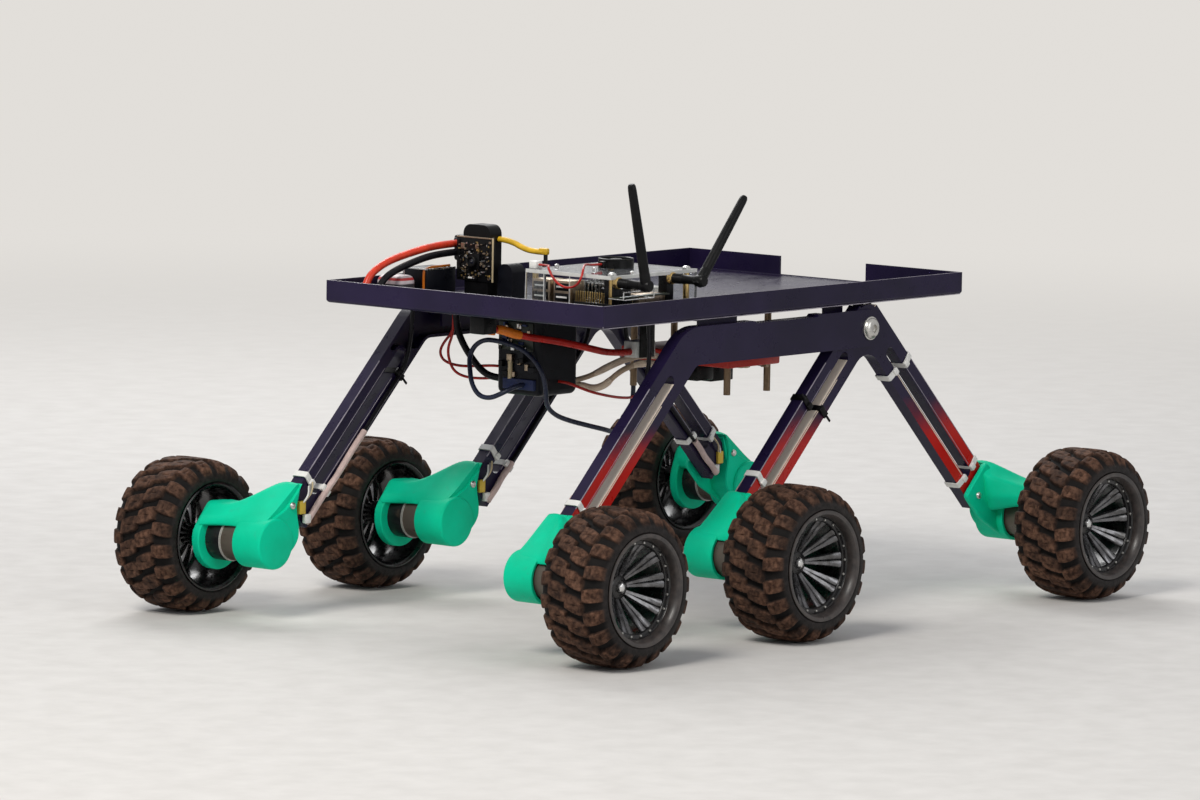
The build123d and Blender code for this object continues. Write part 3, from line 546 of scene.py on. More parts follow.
def pale_floor():
    """A level sheet: a grid of points at the ground, pale to the camera."""
    made = new_finish("pale_floor", (0.62, 0.6, 0.57), 0.85)
    set_colour(made, tint(made, patches(made, 30, 3, 0.3, 0.7), (0.6, 0.58, 0.55), (0.66, 0.64, 0.61)))
    reach = add(made, "ShaderNodeVectorMath", {0: spot_of(made)}, operation="LENGTH").outputs["Value"]
    seen = add(made, "ShaderNodeLightPath").outputs["Is Camera Ray"]
    share = calc(made, "MULTIPLY", seen, spread(made, reach, 0.7, 3.6, shape="SMOOTHSTEP"))
    pale = add(made, "ShaderNodeEmission", {"Color": SEEN_PALE, "Strength": 1})
    mixed = add(made, "ShaderNodeMixShader", {0: share, 1: shader_of(made).outputs[0], 2: pale.outputs[0]})
    made.node_tree.links.new(mixed.outputs[0], made.node_tree.nodes["Material Output"].inputs["Surface"])
    side = np.linspace(-FLOOR_HALF, FLOOR_HALF, FLOOR_CELLS + 1)
    x, y = np.meshgrid(side, side, indexing="ij")
    points = np.stack([x, y, np.full_like(x, FLOOR_Z)], -1).reshape(-1, 3)
    row, step = np.arange(FLOOR_CELLS), FLOOR_CELLS + 1
    first = (row[:, None] * step + row[None, :]).reshape(-1)
    faces = np.stack([first, first + step, first + step + 1, first + 1], -1)
    mesh = bpy.data.meshes.new("floor")
    mesh.from_pydata(points.tolist(), [], faces.tolist())
    mesh.materials.append(made)
    floor = bpy.data.objects.new("floor", mesh)
    bpy.context.scene.collection.objects.link(floor)


def pale_world():
    """Plain light from all round, and a pale backdrop for the camera and, at half strength, for mirrors."""
    world = bpy.data.worlds.new("studio")
    bpy.context.scene.world = world
    world.use_nodes = True
    nodes, links = world.node_tree.nodes, world.node_tree.links
    lit = nodes["Background"]
    lit.inputs["Color"].default_value = (0.86, 0.9, 1, 1)
    lit.inputs["Strength"].default_value = 0.38
    seen = add(world, "ShaderNodeBackground", {"Color": SEEN_PALE, "Strength": 1})
    path = add(world, "ShaderNodeLightPath").outputs
    straight = calc(world, "MAXIMUM", path["Is Camera Ray"], path["Is Transmission Ray"])
    shares = {0: path["Is Glossy Ray"], 1: 0.5, 2: straight}
    mirrored = add(world, "ShaderNodeMath", shares, operation="MULTIPLY_ADD")
    mix = add(world, "ShaderNodeMixShader", {0: mirrored.outputs[0], 1: lit.outputs[0], 2: seen.outputs[0]})
    links.new(mix.outputs[0], nodes["World Output"].inputs["Surface"])


ROVER_MIDDLE_Z = 0.15


def soft_lamp(name, spot, size, power, colour=(1, 1, 1)):
    """A square lamp that faces the rover's middle."""
    lamp = bpy.data.lights.new(name, "AREA")
    lamp.shape = "SQUARE"
    lamp.size = size
    lamp.energy = power
    lamp.color = colour
    held = bpy.data.objects.new(name, lamp)
    held.location = spot
    away = Vector(spot) - Vector((0, 0, ROVER_MIDDLE_Z))
    held.rotation_euler = away.to_track_quat("Z", "Y").to_euler()
    bpy.context.scene.collection.objects.link(held)


pale_floor()
pale_world()
key_spot = 2.3 * to_camera - 1.3 * camera_right + Vector((0, 0, 2.4))
fill_spot = 2.2 * to_camera + 2.2 * camera_right + Vector((0, 0, 1.1))
back_spot = -2 * to_camera - 0.6 * camera_right + Vector((0, 0, 2.2))
soft_lamp("key", key_spot, 1.2, 84, (1, 0.97, 0.92))
soft_lamp("fill", fill_spot, 2, 22)
soft_lamp("back", back_spot, 1.6, 42)


# Cords: routes in metres, x forward, y left, z above the tray's underside, as the part's source has them
TRAY_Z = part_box("tray")[0].z
CORDS = {
    "lead_red": (0.0065, 0.1272, lead_skin, "red_cable", [
        (0.22, -0.124, 0.01), (0.216, -0.124, 0.019), (0.208, -0.1237, 0.027), (0.189, -0.123, 0.035),
        (0.16, -0.1218, 0.0406), (0.131, -0.1198, 0.045), (0.104, -0.1198, 0.045)]),
    "lead_black": (0.006, 0.1166, black_skin, "black_plastic", [
        (0.213, -0.116, 0.009), (0.207, -0.116, 0.018), (0.195, -0.1163, 0.025), (0.169, -0.1167, 0.032),
        (0.136, -0.117, 0.038), (0.104, -0.117, 0.038)]),
    "lead_yellow": (0.005, 0.0496, yellow_skin, "yellow_cable", [
        (0.1, -0.0776, 0.051), (0.1, -0.066, 0.051), (0.099, -0.05, 0.0445), (0.0985, -0.039, 0.0432),
        (0.0985, -0.029, 0.0432)]),
    "fan_wire": (0.002, 0.1389, red_skin, "red_cable", [
        (0.149, 0.077, 0.0435), (0.161, 0.077, 0.0435), (0.18, 0.086, 0.046), (0.199, 0.1, 0.046),
        (0.207, 0.105, 0.038), (0.207, 0.099, 0.03), (0.206, 0.086, 0.0275), (0.2055, 0.074, 0.033),
        (0.204, 0.065, 0.044), (0.192, 0.058, 0.0435), (0.192, 0.046, 0.0435)]),
    "power_red": (0.006, 0.1513, power_skin, "red_cable", [
        (0.205, 0.004, -0.013), (0.193, 0.004, -0.013), (0.177, 0.004, -0.018), (0.164, 0.012, -0.0215),
        (0.153, 0.024, -0.0235), (0.137, 0.033, -0.027), (0.116, 0.038, -0.032), (0.09, 0.04, -0.038),
        (0.066, 0.04, -0.038)]),
    "hose_outer": (0.0045, 0.1566, beige_skin, "beige_cable", [
        (0.094, -0.002, -0.064), (0.083, -0.002, -0.064), (0.072, 0.005, -0.06), (0.061, 0.015, -0.052),
        (0.049, 0.022, -0.0465), (0.032, 0.026, -0.044), (0.012, 0.024, -0.046), (-0.01, 0.019, -0.052),
        (-0.032, 0.015, -0.057), (-0.0495, 0.015, -0.057)]),
    "hose_inner": (0.0048, 0.1857, beige_skin, "beige_cable", [
        (0.094, -0.016, -0.065), (0.083, -0.016, -0.065), (0.072, -0.011, -0.069), (0.066, 0, -0.073),
        (0.063, 0.011, -0.069), (0.061, 0.02, -0.06), (0.055, 0.028, -0.053), (0.042, 0.034, -0.0495),
        (0.022, 0.035, -0.052), (0.002, 0.03, -0.058), (-0.018, 0.019, -0.064), (-0.034, 0.008, -0.067),
        (-0.0495, 0.008, -0.067)]),
    "low_wire": (0.0024, 0.1901, red_skin, "red_cable", [
        (0.12, 0.008, -0.062), (0.12, 0.017, -0.062), (0.114, 0.025, -0.066), (0.103, 0.03, -0.0705),
        (0.082, 0.028, -0.075), (0.058, 0.023, -0.079), (0.032, 0.016, -0.0815), (0.008, 0.008, -0.078),
        (-0.014, 0.001, -0.073), (-0.032, -0.004, -0.07), (-0.0495, -0.004, -0.07)]),
    "cable_ring": (0.0042, 0.4444, blue_black_skin, "black_plastic", [
        (0.146, -0.006, -0.064), (0.158, -0.006, -0.064), (0.167, -0.013, -0.07), (0.171, -0.024, -0.0755),
        (0.172, -0.036, -0.074), (0.169, -0.0465, -0.065), (0.163, -0.054, -0.053), (0.159, -0.058, -0.043),
        (0.156, -0.055, -0.034), (0.154, -0.046, -0.0285), (0.153, -0.033, -0.0285), (0.153, -0.018, -0.0305),
        (0.153, -0.0035, -0.034), (0.1525, 0.01, -0.0425), (0.151, 0.018, -0.055), (0.148, 0.018, -0.069),
        (0.141, 0.013, -0.081), (0.129, 0.011, -0.089), (0.112, 0.0105, -0.095), (0.088, 0.012, -0.101),
        (0.062, 0.013, -0.107), (0.032, 0.003, -0.114), (0.002, -0.018, -0.118), (-0.024, -0.038, -0.116),
        (-0.041, -0.049, -0.107), (-0.05, -0.052, -0.095), (-0.05, -0.052, -0.082)]),
    "wire_outer": (0.0024, 0.139, red_skin, "red_cable", [
        (0.118, -0.109, 0), (0.118, -0.109, -0.015), (0.119, -0.1115, -0.029), (0.123, -0.1185, -0.0385),
        (0.125, -0.1215, -0.047), (0.1235, -0.1175, -0.0548), (0.119, -0.1045, -0.058),
        (0.112, -0.092, -0.0575), (0.108, -0.077, -0.056), (0.111, -0.061, -0.0555),
        (0.111, -0.04, -0.0555)]),
    "wire_inner": (0.0024, 0.1302, red_skin, "red_cable", [
        (0.128, -0.1034, 0), (0.128, -0.1034, -0.015), (0.1285, -0.1034, -0.03), (0.129, -0.109, -0.0428),
        (0.128, -0.107, -0.0548), (0.126, -0.1024, -0.0628), (0.121, -0.093, -0.0668),
        (0.114, -0.079, -0.067), (0.116, -0.062, -0.064), (0.116, -0.04, -0.064)]),
    "trunk_cable": (0.006, 0.092, black_skin, "black_plastic", [
        (0.137, -0.093, 0), (0.137, -0.093, -0.014), (0.137, -0.09, -0.027), (0.137, -0.0825, -0.039),
        (0.1365, -0.073, -0.0495), (0.136, -0.064, -0.0575), (0.136, -0.053, -0.062),
        (0.136, -0.04, -0.062)]),
}


def lay_cord(name, size, finish, route, sleeves=()):
    """A round tube about a smooth curve that has the route's points as its control points."""
    curve = bpy.data.curves.new(name + "_cord", "CURVE")
    curve.dimensions = "3D"
    curve.bevel_depth = size / 2
    curve.bevel_resolution = 3
    curve.resolution_u = 8
    curve.use_fill_caps = True
    spline = curve.splines.new("NURBS")
    spline.points.add(len(route) - 1)
    spline.points.foreach_set("co", [c for x, y, z in route for c in (x, y, TRAY_Z + z, 1)])
    spline.order_u = 3
    spline.use_endpoint_u = True
    curve.materials.append(finish)
    cord = bpy.data.objects.new(name + "_cord", curve)
    bpy.context.scene.collection.objects.link(cord)
    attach(cord, "chassis")
    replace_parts(cord, name)
    worn = [sleeve_on(curve, "%s_%d" % (name, k), *sleeve) for k, sleeve in enumerate(sleeves)]


def line_of(curve):
    """The curve's own points, in millimetres, as Blender gives them for a curve with no bevel."""
    bare = curve.copy()
    bare.bevel_depth = 0
    bare.resolution_u = 16
    held = bpy.data.objects.new("bare_line", bare)
    mesh = bpy.data.meshes.new_from_object(held)
    points = np.empty(3 * len(mesh.vertices))
    mesh.vertices.foreach_get("co", points)
    bpy.data.objects.remove(held)
    bpy.data.meshes.remove(mesh)
    bpy.data.curves.remove(bare)
    return points.reshape(-1, 3) / MM


def length_along(line):
    """The length of a line of points up to each of them."""
    return np.concatenate([[0], np.cumsum(np.linalg.norm(np.diff(line, axis=0), axis=1))])


def tube_on(line, radius, sides=12):
    """A circle carried along a line; every ring is square to the line there."""
    way = np.gradient(line, axis=0)
    way /= np.linalg.norm(way, axis=1)[:, None]
    aside = np.cross(way, [0.21, 0.33, 0.92])
    aside /= np.linalg.norm(aside, axis=1)[:, None]
    above = np.cross(way, aside)
    radius = np.broadcast_to(np.asarray(radius, float), (len(line),))[:, None, None]
    angle = circle(sides)[None, :, None]
    return skin_of(line[:, None] + radius * (np.cos(angle) * aside[:, None] + np.sin(angle) * above[:, None]))


SLEEVE_RINGS = 18


def sleeve_on(curve, name, low, high, radius, finish, slot):
    """A sleeve over part of a cord, from one share of its line to another, drawn in at its ends."""
    line = line_of(curve)
    along = length_along(line)
    at = np.linspace(low, high, SLEEVE_RINGS) * along[-1]
    part = np.stack([np.interp(at, along, line[:, k]) for k in range(3)], -1)
    from_end = np.minimum(np.arange(SLEEVE_RINGS), np.arange(SLEEVE_RINGS)[::-1])
    size = radius * (0.8 + 0.2 * np.clip(from_end / 2, 0, 1))
    return make_piece(name + "_sleeve", [(tube_on(part, size, 16), finish)], "chassis")


# From and to as shares of the cord's line, radius, finish and slot
SLEEVES = {
    "power_red": [(0.05, 0.245, 3.9, orange_skin, "red_cable")],
    "hose_outer": [(0.16, 0.62, 3.1, beige_light, "beige_cable")],
    "hose_inner": [(0.13, 0.3, 3.1, beige_light, "beige_cable"),
                   (0.42, 0.8, 3.1, beige_light, "beige_cable")],
}


for name, (size, length, finish, slot, route) in CORDS.items():
    lay_cord(name, size, finish, route, SLEEVES.get(name, ()))


# Wheels: every measure in millimetres, y is the distance from the wheel's middle along the axle
WHEELS = [(joint["child"], joint["pos_m"]) for joint in frame["joints"]]
LUGS = 20
ROUND_STEPS = 28 * LUGS
ACROSS_STEPS = 76
BORE_STEPS = 4
BORE_R = 44.95
TREAD_TIP = 64.9
WIDEST = 32.9
LUG_BEVEL = 1.1
# The four rows of lugs: middle, half width, half length round the tyre, shift in pitches, tilt
LUG_ROWS = (
    (8.6, 8.7, 7.1, 0, 0.34), (-8.6, 8.7, 7.1, 0.5, 0.34),
    (27.7, 10.6, 6.4, 0.56, -0.1), (-27.7, 10.6, 6.4, 0.06, -0.1),
)
# Half of the tyre's skin without its lugs, from the bead to the tread's middle: radius, place along the axle
CARCASS = np.array([
    (45, 28), (45.2, 30.6), (46.4, 32.1), (48.5, 32.4), (51, 32.3), (53.3, 31.3), (55.3, 29.6), (57.4, 26.6),
    (59.2, 22.5), (60.4, 17.5), (60.9, 11), (61, 0),
])


def wheel_place(body, spot):
    """A wheel's middle in millimetres, its side (1 left, -1 right) and the end of its pieces' names."""
    return np.array(spot) / MM, 1 if spot[1] > 0 else -1, body.replace("wheel_", "")


def eased(share):
    """A share from 0 to 1 with soft ends: 3 s^2 - 2 s^3."""
    return share * share * (3 - 2 * share)


def carcass_line(count):
    """Points at equal steps along the carcass and its mirror image, and the way out of the skin at each."""
    line = np.concatenate([CARCASS, CARCASS[-2::-1] * (1, -1)])
    along = length_along(line)
    at = np.linspace(0, along[-1], count)
    r, y = np.interp(at, along, line[:, 0]), np.interp(at, along, line[:, 1])
    soft = np.ones(5) / 5
    inner = slice(2, -2)
    r[inner], y[inner] = np.convolve(r, soft, "valid"), np.convolve(y, soft, "valid")
    way_r, way_y = np.gradient(r), np.gradient(y)
    size = np.hypot(way_r, way_y)
    return r, y, -way_y / size, way_r / size


def lug_height(turns, y, r):
    """Height of the tread over the carcass, in millimetres, and where it is a lug.

    Each row repeats once a pitch round the tyre. A lug is a box in the row's own sheared coordinates, with
    walls that slope over the bevel's width, and cuts taken out of its top: a slanting one in the middle rows,
    steps in the outer ones. The height grows from 1.6 mm low on the sidewall to 4 mm on the tread.
    """
    pitch = 2 * np.pi * TREAD_TIP / LUGS
    height = np.zeros(np.broadcast(turns, y).shape)
    for row, (middle, half_y, half_a, shift, tilt) in enumerate(LUG_ROWS):
        across = y - middle
        phase = (turns * LUGS + shift + tilt * across / pitch + 0.5) % 1 - 0.5
        around_lug = phase * pitch
        waist = half_a - 1.3 * np.clip(np.abs(across) / half_y, 0, 1) ** 2
        edge = np.maximum(np.abs(around_lug) - waist, np.abs(across) - half_y)
        lug = eased(np.clip(0.5 - edge / LUG_BEVEL, 0, 1))
        if row < 2:
            cut = np.clip(1 - np.abs(around_lug - 0.25 * across) / 0.7, 0, 1) * (np.abs(across) < 3.6)
        else:
            steps = np.clip(1 - np.abs((np.abs(across) - 4) % 3.2 - 1.6) / 0.8, 0, 1)
            cut = steps * (np.abs(around_lug) < 2.6) * (r < 59.5) * (r > 52.5)
        height = np.maximum(height, lug * (1 - 0.32 * cut))
    fade = eased(np.clip((r - 51) / 5.5, 0, 1))
    return height * (1.6 + 2.4 * np.clip((r - 55) / 4, 0, 1)) * fade, height * fade


def tyre_shape():
    """The carcass carried round the axle, raised by the lugs along its own way out, with rings on it."""
    r, y, out_r, out_y = carcass_line(ACROSS_STEPS)
    turns = np.arange(ROUND_STEPS) / ROUND_STEPS
    high, lug = lug_height(turns[:, None], y[None, :], r[None, :])
    beads = sum(0.35 * np.exp(-((r - at) / 0.45) ** 2) for at in (46.6, 48.2, 52))
    high = high + beads[None, :]
    radius = np.minimum(r[None, :] + high * np.abs(out_r)[None, :], TREAD_TIP)
    across = np.clip(y[None, :] + high * np.sign(y)[None, :] * np.abs(out_y)[None, :], -WIDEST, WIDEST)
    bore_y = np.linspace(y[-1], y[0], BORE_STEPS + 2)[1:-1]
    around = (ROUND_STEPS, BORE_STEPS)
    radius = np.concatenate([radius, np.full(around, BORE_R)], axis=1)
    across = np.concatenate([across, np.broadcast_to(bore_y[None, :], around)], axis=1)
    lug = np.concatenate([lug, np.zeros(around)], axis=1)
    wall = np.clip((54.5 - radius) / 3, 0, 1)
    angle = 2 * np.pi * turns[:, None]
    rings = np.stack([radius * np.cos(angle), across, radius * np.sin(angle)], -1)
    return skin_of(rings, loop=True), lug.reshape(-1), wall.reshape(-1)


SPOKE_FROM, SPOKE_TO = 8.4, 37.2


def rim_shapes():
    """Barrel with its lip, ten pairs of wedge spokes, rivets, hub and nut; out of the wheel is +Y."""
    barrel = turned([
        (45, 27), (41.2, 27), (40.4, 24.2), (39.6, 23.3), (36.9, 23), (36.2, 22.2), (36, 19.8), (36.4, 18.6),
        (39.2, 18), (39.9, 15), (40, 0), (40.4, -12), (41.3, -20), (41.7, -28), (42.4, -31), (44.6, -32.8),
        (45.8, -32.2), (45, -30), (44.9, -10), (44.9, 10),
    ], 96, loop=True, axis="Y")
    lip = turned([
        (45, 26.5), (45, 30.5), (46.3, 32), (46.2, 32.8), (44.8, 32.9), (43, 32.5), (41.9, 31), (41, 28),
        (40.4, 25), (40.6, 24.2), (41.4, 25.8),
    ], 96, loop=True, axis="Y")
    shapes = [(barrel, rim_black), (lip, rim_lip)]
    # A spoke: its section along x grows in width, and its front rises towards the rim
    station = np.array([SPOKE_FROM, 12, 18, 26, 33, SPOKE_TO])
    share = (station - SPOKE_FROM) / (SPOKE_TO - SPOKE_FROM)
    width = 1.35 + 1.65 * share
    front = 3.6 + 18.6 * share ** 1.15
    deep = 4.6 - 1.2 * share
    section = np.array([(-1, 0), (1, 0), (1, 0.72), (0.62, 1), (-0.62, 1), (-1, 0.72)])
    x = station[:, None] + 0 * section[None, :, 0]
    z = width[:, None] * section[None, :, 0]
    y = front[:, None] - deep[:, None] * (1 - section[None, :, 1])
    spoke = skin_of(np.stack([x, y, z], -1))
    for k in range(10):
        for lean in (-5.5, 5.5):
            shapes.append((moved(spoke, turn=turn_about("Y", 36 * k + lean)), spoke_grey))
    rivet = turned([(1.15, 22.6), (1.15, 23.8), (0.9, 24.3), (0.35, 24.5)], 8, axis="Y")
    for k in range(20):
        shapes.append((moved(rivet, turn_about("Y", 18 * k) @ np.array([38.3, 0, 0])), steel))
    hub = turned([
        (3.2, -11.5), (9.8, -11.5), (9.8, 2), (9.4, 4.4), (8, 5), (6.4, 5.2), (6, 4.4), (3.2, 4.4),
    ], 40, axis="Y")
    nut = six_sided([(1, 4.2), (1, 7.4), (0.9, 8.2), (0.72, 8.6), (0.55, 9), (0.2, 9.3)], 4.15, 48, 4.7)
    return shapes + [(hub, rim_black), (nut, silver)]


tyre, lug_marks, wall_marks = tyre_shape()
rim = rim_shapes()
for body, spot in WHEELS:
    spot, side, place_name = wheel_place(body, spot)
    start = 360 / LUGS * (0.13 * spot[0] / 100 % 1)
    turn = np.diag([1, side, 1]) @ turn_about("Y", start)
    marks = (("lug", lug_marks), ("wall", wall_marks))
    tread = [(moved(tyre, spot, turn), rubber)]
    tyre_piece = make_piece("tyre_tread_" + place_name, tread, body, 60, marks)
    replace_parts(tyre_piece, "tyre_" + place_name)
    shapes = [(moved(shape, spot, turn), finish) for shape, finish in rim]
    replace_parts(make_piece("rim_dish_" + place_name, shapes, body, 40), "rim_" + place_name)


# Drive mounts, about the axle: x towards the leg's foot, y outwards, z up, in millimetres
CAP_R = 21.5
CAP_INNER = 134
CAP_OUTER = 165
CHEEK_INNER = 136.5
ARM_FACE = 154.6
CHEEK_OUTER = 159
FLANGE_INNER = 198
FLANGE_OUTER = 206
MOTOR_FIT_R = 19
SADDLE_SIDES = 72


def plate_of(outline, levels):
    """An outline in x and z carried along y; each level is its place and how far it is drawn in."""
    outline = np.asarray(outline, float)
    along = np.roll(outline, -1, axis=0) - np.roll(outline, 1, axis=0)
    out = np.stack([along[:, 1], -along[:, 0]], -1)
    out /= np.linalg.norm(out, axis=1)[:, None] + 1e-9
    turning = np.sum(outline[:, 0] * np.roll(outline[:, 1], -1) - outline[:, 1] * np.roll(outline[:, 0], -1))
    out *= 1 if turning > 0 else -1
    rings = []
    for y, inset in levels:
        shape = outline - inset * out
        rings.append(np.stack([shape[:, 0], np.full(len(shape), y), shape[:, 1]], -1))
    return skin_of(np.array(rings))


def fine_loop(corners, count, softness):
    """Points at equal steps round a closed outline, averaged with their neighbours to round its corners."""
    corners = np.asarray(corners, float)
    closed = np.concatenate([corners, corners[:1]])
    along = length_along(closed)
    at = np.linspace(0, along[-1], count, endpoint=False)
    loop = np.stack([np.interp(at, along, closed[:, k]) for k in range(2)], -1)
    for _ in range(softness):
        loop = 0.25 * np.roll(loop, 1, axis=0) + 0.5 * loop + 0.25 * np.roll(loop, -1, axis=0)
    return loop


def arc(radius, first, last, count):
    """Points of a circle about the axle, from one angle to another in degrees."""
    angle = np.radians(np.linspace(first, last, count))
    return np.stack([radius * np.cos(angle), radius * np.sin(angle)], -1)


def mount_shapes():
    """Cap, two walls about the leg's end, saddle over the motor and flange at the wheel.

    The walls and the flange are outlines carried along the axle, the saddle an outline that changes along it.
    """
    # Far wall: the cap's circle with tangents to the socket's corners
    socket = [(-43.5, 0.2), (-64.7, 21.4), (-36.4, 49.7), (-15.2, 28.5)]
    far = fine_loop(np.concatenate([arc(CAP_R, 45, -135, 30), socket]), 120, 5)
    # Near wall: its leg side is cut back in a hollow curve below the horn
    near = fine_loop(np.concatenate([
        arc(CAP_R, 45, -150, 32),
        [(-27, -4), (-31.5, 3), (-31.5, 12), (-29, 22), (-28, 32), (-30.5, 41), (-36.5, 49.5), (-15.2, 28.5)],
    ]), 120, 5)
    far_levels = [(ARM_FACE, 0.5), (ARM_FACE + 0.5, 0), (CHEEK_OUTER - 1, 0), (CHEEK_OUTER, 1)]
    near_levels = [(CHEEK_INNER, 0.8), (CHEEK_INNER + 0.8, 0), (ARM_FACE + 0.2, 0)]
    cap = turned([
        (CAP_R - 2.2, CAP_INNER), (CAP_R - 1.2, CAP_INNER + 0.25), (CAP_R - 0.3, CAP_INNER + 1.1),
        (CAP_R, CAP_INNER + 2.2), (CAP_R, CAP_OUTER - 0.6), (CAP_R - 0.5, CAP_OUTER),
        (MOTOR_FIT_R, CAP_OUTER), (MOTOR_FIT_R, CAP_OUTER - 5),
    ], 64, axis="Y")
    shapes = [(plate_of(far, far_levels), green), (plate_of(near, near_levels), green), (cap, green)]
    # Saddle: eight outlines of six corners, front low corner first, blended between their places on the axle
    places = np.array([FLANGE_INNER + 2, 190, 180, 171, 163, 155.5, 146.5, 138.5])
    corners = np.array([
        [(25, 12), (22, 20), (8, 31), (-18, 31), (-24, 20), (-22, 12)],
        [(20, 13), (19, 20), (7, 30), (-20, 30), (-25, 20), (-22, 12)],
        [(17, 14), (16.5, 20), (4, 31.5), (-24, 31.5), (-29, 20), (-24, 11)],
        [(15, 15), (14, 21), (-3, 36), (-32, 35), (-36, 20), (-28, 8)],
        [(13.5, 17), (8, 23), (-16, 43.5), (-42, 38), (-40, 20), (-30, 6)],
        [(13, 17.5), (2, 27), (-27, 50), (-42, 42), (-36, 18), (-31, 4)],
        [(13, 17.5), (-1, 28), (-30, 51), (-35, 46), (-29.5, 24), (-29, 6)],
        [(12, 17), (-3, 27), (-32, 49.5), (-34.5, 46), (-28.5, 24), (-28, 6)],
    ])
    level = np.linspace(places[0], places[-1], 34)
    blended = np.stack([
        [np.interp(level, places[::-1], corners[::-1, k, c]) for c in range(2)] for k in range(6)
    ])
    for _ in range(6):
        blended[:, :, 1:-1] = (blended[:, :, :-2] + 2 * blended[:, :, 1:-1] + blended[:, :, 2:]) / 4
    inner = arc(MOTOR_FIT_R, 146, 38, 12)
    rings = []
    for k, y in enumerate(level):
        loop = fine_loop(np.concatenate([blended[:, :, k], inner]), SADDLE_SIDES, 3)
        rings.append(np.stack([loop[:, 0], np.full(SADDLE_SIDES, y), loop[:, 1]], -1))
    shapes.append((skin_of(np.array(rings)), green))
    flange = np.concatenate([arc(27, 20, -200, 40), [(-17.5, 30.5), (7, 31.5)]])
    levels = [(FLANGE_INNER, 0.8), (FLANGE_INNER + 0.8, 0), (FLANGE_OUTER - 0.8, 0), (FLANGE_OUTER, 0.8)]
    shapes.append((plate_of(fine_loop(flange, 96, 4), levels), green))
    # Pan-head screws through the socket, two outside and one inside
    head = [(3.1, 0), (3.1, 0.9), (2.5, 1.8), (1.4, 2.3), (0.5, 2.4)]
    for x, z in ((-33, 36), (-48, 21)):
        shapes.append((moved(turned(head, 20, axis="Y"), (x, CHEEK_OUTER, z)), steel))
    inside = turned([(r, -t) for r, t in head], 20, axis="Y")
    shapes.append((moved(inside, (-22, CHEEK_INNER, 30.5)), steel))
    return shapes


def plug_shapes(tone):
    """A two-way plug at the socket's mouth, and short wires: tubes on lines that bow as a half sine does."""
    shapes = blocks(((-41, 138, 22), (-33.5, 143, 33), 0.7, tone),
                    ((-46.5, 137, 14), (-40, 141.5, 21.5), 0.7, white_plastic))
    share = np.linspace(0, 1, 9)
    for k in range(3):
        x = -37 - 1.8 * k - 9 * share ** 2 - 2 * np.sin(np.pi * share)
        y = 139.8 - 3.2 * np.sin(np.pi * share) - 0.5 * k
        z = 30 + 15 * share + 1.5 * k
        shapes.append((tube_on(np.stack([x, y, z], -1), 0.75, 8), wire_tones[k]))
    return shapes


wire_tones = (white_plastic, plain_plastic("grey_wire", (0.3, 0.29, 0.27)), cream_plastic)
plug_yellow = plain_plastic("plug_yellow", (0.72, 0.5, 0.06), 0.4, 0.2)
mount_parts = mount_shapes()
for body, spot in WHEELS:
    spot, side, place_name = wheel_place(body, spot)
    foot = -1 if "rear" in body else 1
    flip = np.diag([foot, side, 1])
    move = (spot[0], 0, spot[2])
    shapes = [(moved(shape, move, flip), finish) for shape, finish in mount_parts]
    mount = make_piece("drive_mount_" + place_name, shapes, "chassis", 38)
    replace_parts(mount, "mount_" + place_name)
    tone = plug_yellow if side < 0 else white_plastic
    shapes = [(moved(shape, move, flip), finish) for shape, finish in plug_shapes(tone)]
    make_piece("motor_plug_" + place_name, shapes, "chassis")


# Legs: the cables tied along them, and the ties
LEG_W = 32
LEG_SIN = math.sqrt(0.5)  # the legs stand at 45 degrees
LEG_END = (35, 20)
WHEEL_R = 65
TRAY_CABLE_Z = 261
TRAY_CABLE_Y = 136
ARM_DEPTH = 12
SLOT_HALF = 6
TIE_GAP = 0.9
LANE = 10.3
RAIL_START = 30
SLOT_START = 34
SLOT_SHORT = 8
LEGS = [
    # Place, axle's x, way of the foot, inner face of the arm
    # Each tie: distance from the leg's end, upper rail (1) or lower (-1), dark (1) or white (0)
    ("front_left", 314, 1, 143, ((34, 1, 0),)),
    ("front_right", 314, 1, 143, ((31, 1, 0), (38, -1, 0), (168, -1, 1))),
    ("middle_left", 84, 1, 140.5, ((42, 1, 0), (127, 1, 1), (136, -1, 1))),
    ("middle_right", 84, 1, 140.5, ((38, 1, 0), (42, -1, 0), (150, -1, 1))),
    ("rear_left", -314, -1, 140.5, ((30, 1, 0), (31, -1, 0), (166, 1, 0), (172, -1, 0))),
    ("rear_right", -314, -1, 140.5, ((30, 1, 0), (50, -1, 0), (160, 1, 0))),
]


def leg_place(axle, way, side):
    """Turn and start of a leg's own axes: up along the leg, outwards, and towards its upper side."""
    turn = np.array([[-way * LEG_SIN, 0, way * LEG_SIN], [0, side, 0], [LEG_SIN, 0, LEG_SIN]])
    return turn, np.array([axle - way * LEG_END[0], 0, WHEEL_R + LEG_END[1]])


